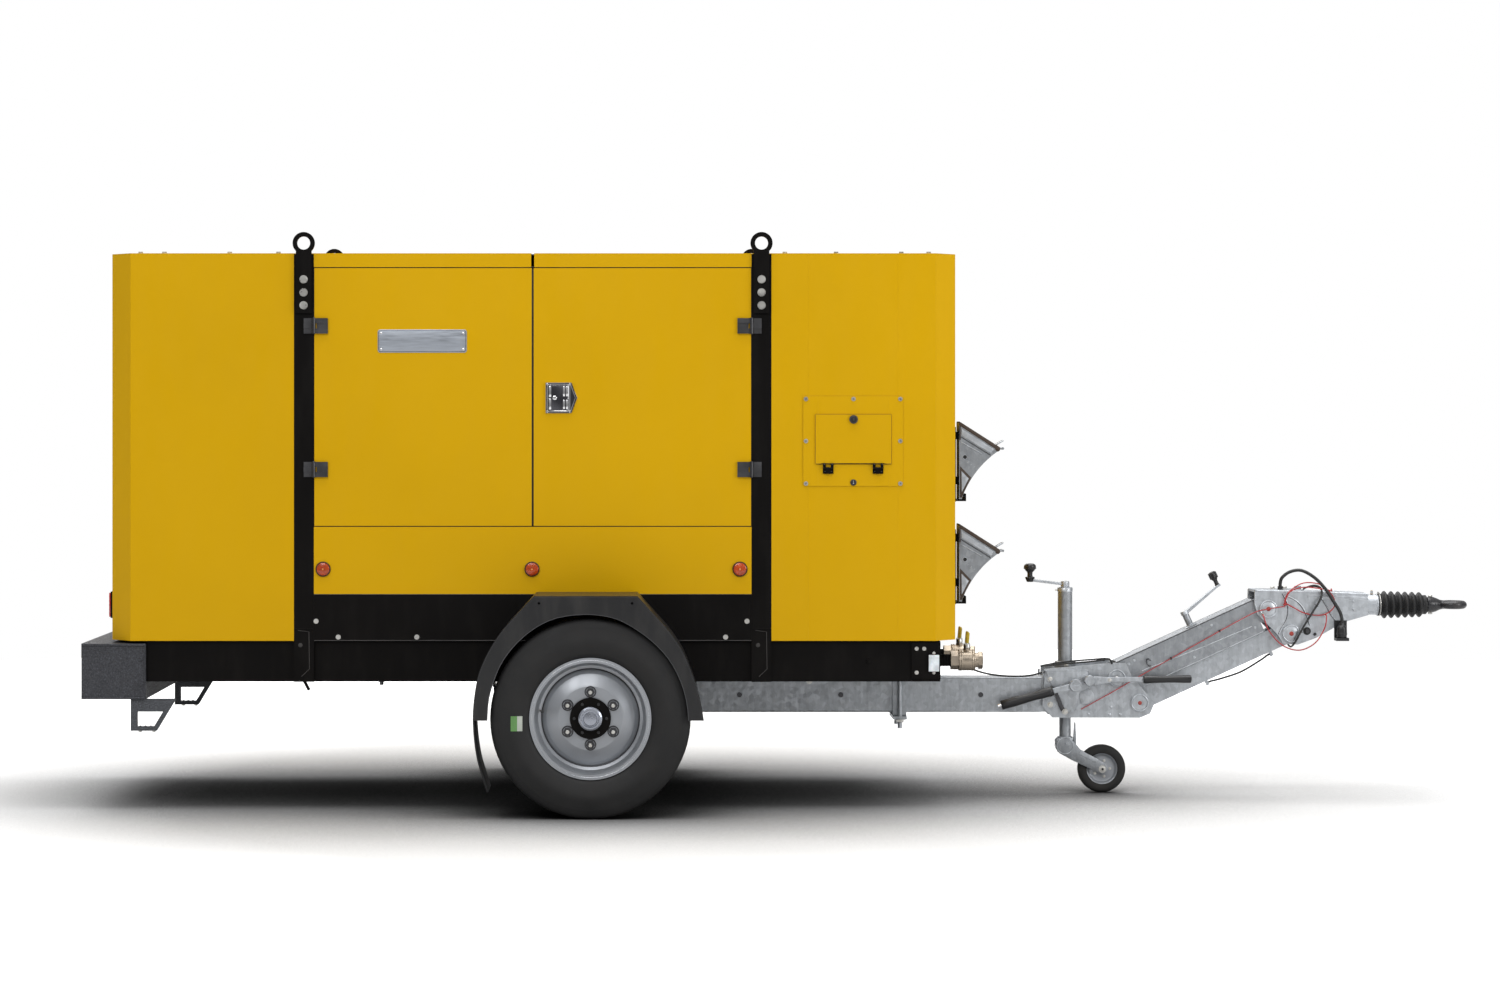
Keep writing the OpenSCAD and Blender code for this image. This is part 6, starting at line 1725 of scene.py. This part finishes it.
def make_alternator_details():
    """End bells, cooling ribs, terminal cover and output leads of the alternator."""
    piece = Piece("alternator_details", "chassis")
    for x, r in ((-0.398, 0.176), (-0.33, 0.1755), (0.15, 0.1755), (0.212, 0.1745)):
        piece.ring((x, 0, ALTERNATOR_Z), X, r, 0.005, ALTERNATOR, 80)
    for x0, x1, reach, r, material in ((-0.305, 0.125, 0.1755, 0.0032, ALTERNATOR),
                                       (0.162, 0.2, 0.1752, 0.0026, GRIP)):
        for y, z in circle(36, reach):
            piece.rod((x0, y, ALTERNATOR_Z + z), (x1, y, ALTERNATOR_Z + z), r, material, 8)
    for y, z in circle(8, 0.155):
        piece.bolt((0.22, y, ALTERNATOR_Z + z), X, 0.009, 0.008)
    piece.box((-0.234, -0.134, 1.244), (0.044, 0.134, 1.252), ALTERNATOR, 0.003)
    for x in (-0.215, 0.025):
        for y in (-0.115, 0.115):
            piece.bolt((x, y, 1.252), Z, 0.007, 0.005)
    for k in range(3):
        y, away = 0.03 + 0.034 * k, 0.03 * k
        piece.rod((0.04, y, 1.17), (0.066, y, 1.17), 0.013, GRIP, 20, 0.002)
        piece.hose([(0.06, y, 1.17), (0.13, y + 0.02, 1.168), (0.24, 0.18 + away, 1.15),
                    (0.33, 0.23 + away, 1.12), (0.4, 0.24 + away, 1.11)], 0.0085, CABLE, 12)
    piece.done()


def make_electrics_details():
    """Front of the control cabinet with its display, buttons and dials, and the battery's caps and leads."""
    panel = Piece("electrics_details", "chassis")
    face, inward = 0.3935, (-1, 0, 0)
    for a, b, material, bevel in (
            ((face, 0.164, 0.7), (0.4, 0.526, 1.436), CABINET, 0.003),
            ((0.39, 0.245, 1.27), (0.394, 0.445, 1.39), GRIP, 0.003),
            ((0.389, 0.26, 1.305), (0.3904, 0.37, 1.375), SCREEN, 0.001),
            ((0.386, 0.18, 0.9), (face, 0.196, 0.97), GRIP, 0.003),
            ((0.338, -0.262, 0.869), (0.522, -0.018, 0.876), TANK, 0.003)):
        panel.box(a, b, material, bevel)
    for k, material in enumerate((GRIP, RED_PAINT, LEVER_YELLOW, GRIP)):
        panel.cap((face, 0.25 + 0.055 * k, 1.22), inward, [(0.011, 0), (0.011, 0.006), (0.008, 0.009)],
                  material)
    panel.cap((face, 0.345, 1.14), inward, [(0.014, 0), (0.014, 0.014), (0.024, 0.016), (0.024, 0.026),
                                            (0.018, 0.031)],
              RED_PAINT, 32, 0.032)
    for y in (0.27, 0.42):
        panel.ring((0.3925, y, 1.04), X, 0.036, 0.0035, GRIP)
        panel.cap((face, y, 1.04), inward, [(0.034, 0), (0.033, 0.002)], LABEL_PALE, 36)
    for z in (0.76, 1.38):
        panel.rod((0.3915, 0.529, z), (0.3915, 0.529, z + 0.04), 0.005, BOLT, 16)
    for k in range(6):
        panel.cap((0.455, -0.24 + 0.04 * k, 0.8755), Z, [(0.011, 0), (0.011, 0.004), (0.009, 0.007)], GRIP,
                  20)
    for y, material in ((-0.22, RED_WIRE), (-0.08, CABLE)):
        panel.lathe([(0.0102, 0), (0.017, 0), (0.017, 0.01), (0.0102, 0.01)], (0.37, y, 0.8765), Z, BOLT, 24,
                    True)
        panel.hose([(0.37, y, 0.884), (0.345, y, 0.888), (0.322, y - 0.01, 0.86), (0.315, y - 0.02, 0.76),
                    (0.3, y - 0.03, 0.69)], 0.007, material, 12)
    panel.tube([(0.335, -0.265, 0.72), (0.335, -0.265, 0.872), (0.335, -0.015, 0.872), (0.335, -0.015, 0.72)],
               0.0035, BOLT)
    panel.done()


def make_tank_details():
    """Filler cap, straps, gauge and fuel hose of the tank."""
    piece = Piece("tank_details", "chassis")
    piece.cap((-1.84, -0.44, 1.04), Z, [(0.05, 0), (0.052, 0.003), (0.052, 0.02), (0.046, 0.027),
                                        (0.02, 0.029)], GRIP, 36)
    for x in (-1.8, -1.53):
        piece.box((x - 0.02, -0.503, 0.9795), (x + 0.02, 0.503, 0.9835), BOLT)
        for _, s in SIDES:
            piece.box((x - 0.02, s * 0.4998, 0.672), (x + 0.02, s * 0.5035, 0.983), BOLT)
            piece.bolt((x, s * 0.503, 0.72), (0, s, 0), 0.0085, 0.01)
    piece.rod((-1.47, -0.508, 0.71), (-1.47, -0.508, 0.94), 0.006, LABEL_PALE, 14, 0.001)
    piece.hose([(-1.45, -0.3, 0.98), (-1.44, -0.3, 1.0), (-1.4, -0.33, 0.96), (-1.39, -0.43, 0.76),
                (-1.2, -0.43, 0.7), (-1.0, -0.3, 0.7), (-0.9, -0.2, 0.8), (-0.88, -0.19, 0.965)], 0.0055,
                RUBBER, 10)
    piece.done()


def make_silencer_details():
    """Seams and straps of the silencer, and the flanges of its pipes."""
    muffler = Piece("silencer_details", "chassis")
    for x, r, minor, material, segments in (
            (-2.557, 0.1095, 0.0035, EXHAUST, 64), (-2.47, 0.1095, 0.0035, EXHAUST, 64),
            (-2.15, 0.1095, 0.0035, EXHAUST, 64), (-2.063, 0.1095, 0.0035, EXHAUST, 64),
            (-1.425, 0.04, 0.008, BOLT, 40), (-2.055, 0.035, 0.0045, EXHAUST, 40)):
        muffler.ring((x, 0, PIPE_Z), X, r, minor, material, segments)
    for x in (-2.47, -2.15):
        muffler.lathe([(0.11, -0.02), (0.1125, -0.02), (0.1125, 0.02), (0.11, 0.02)], (x, 0, PIPE_Z), X, BOLT,
                      64, True)
    muffler.done()


make_engine_details()
make_cooling_details()
make_alternator_details()
make_electrics_details()
make_tank_details()
make_silencer_details()
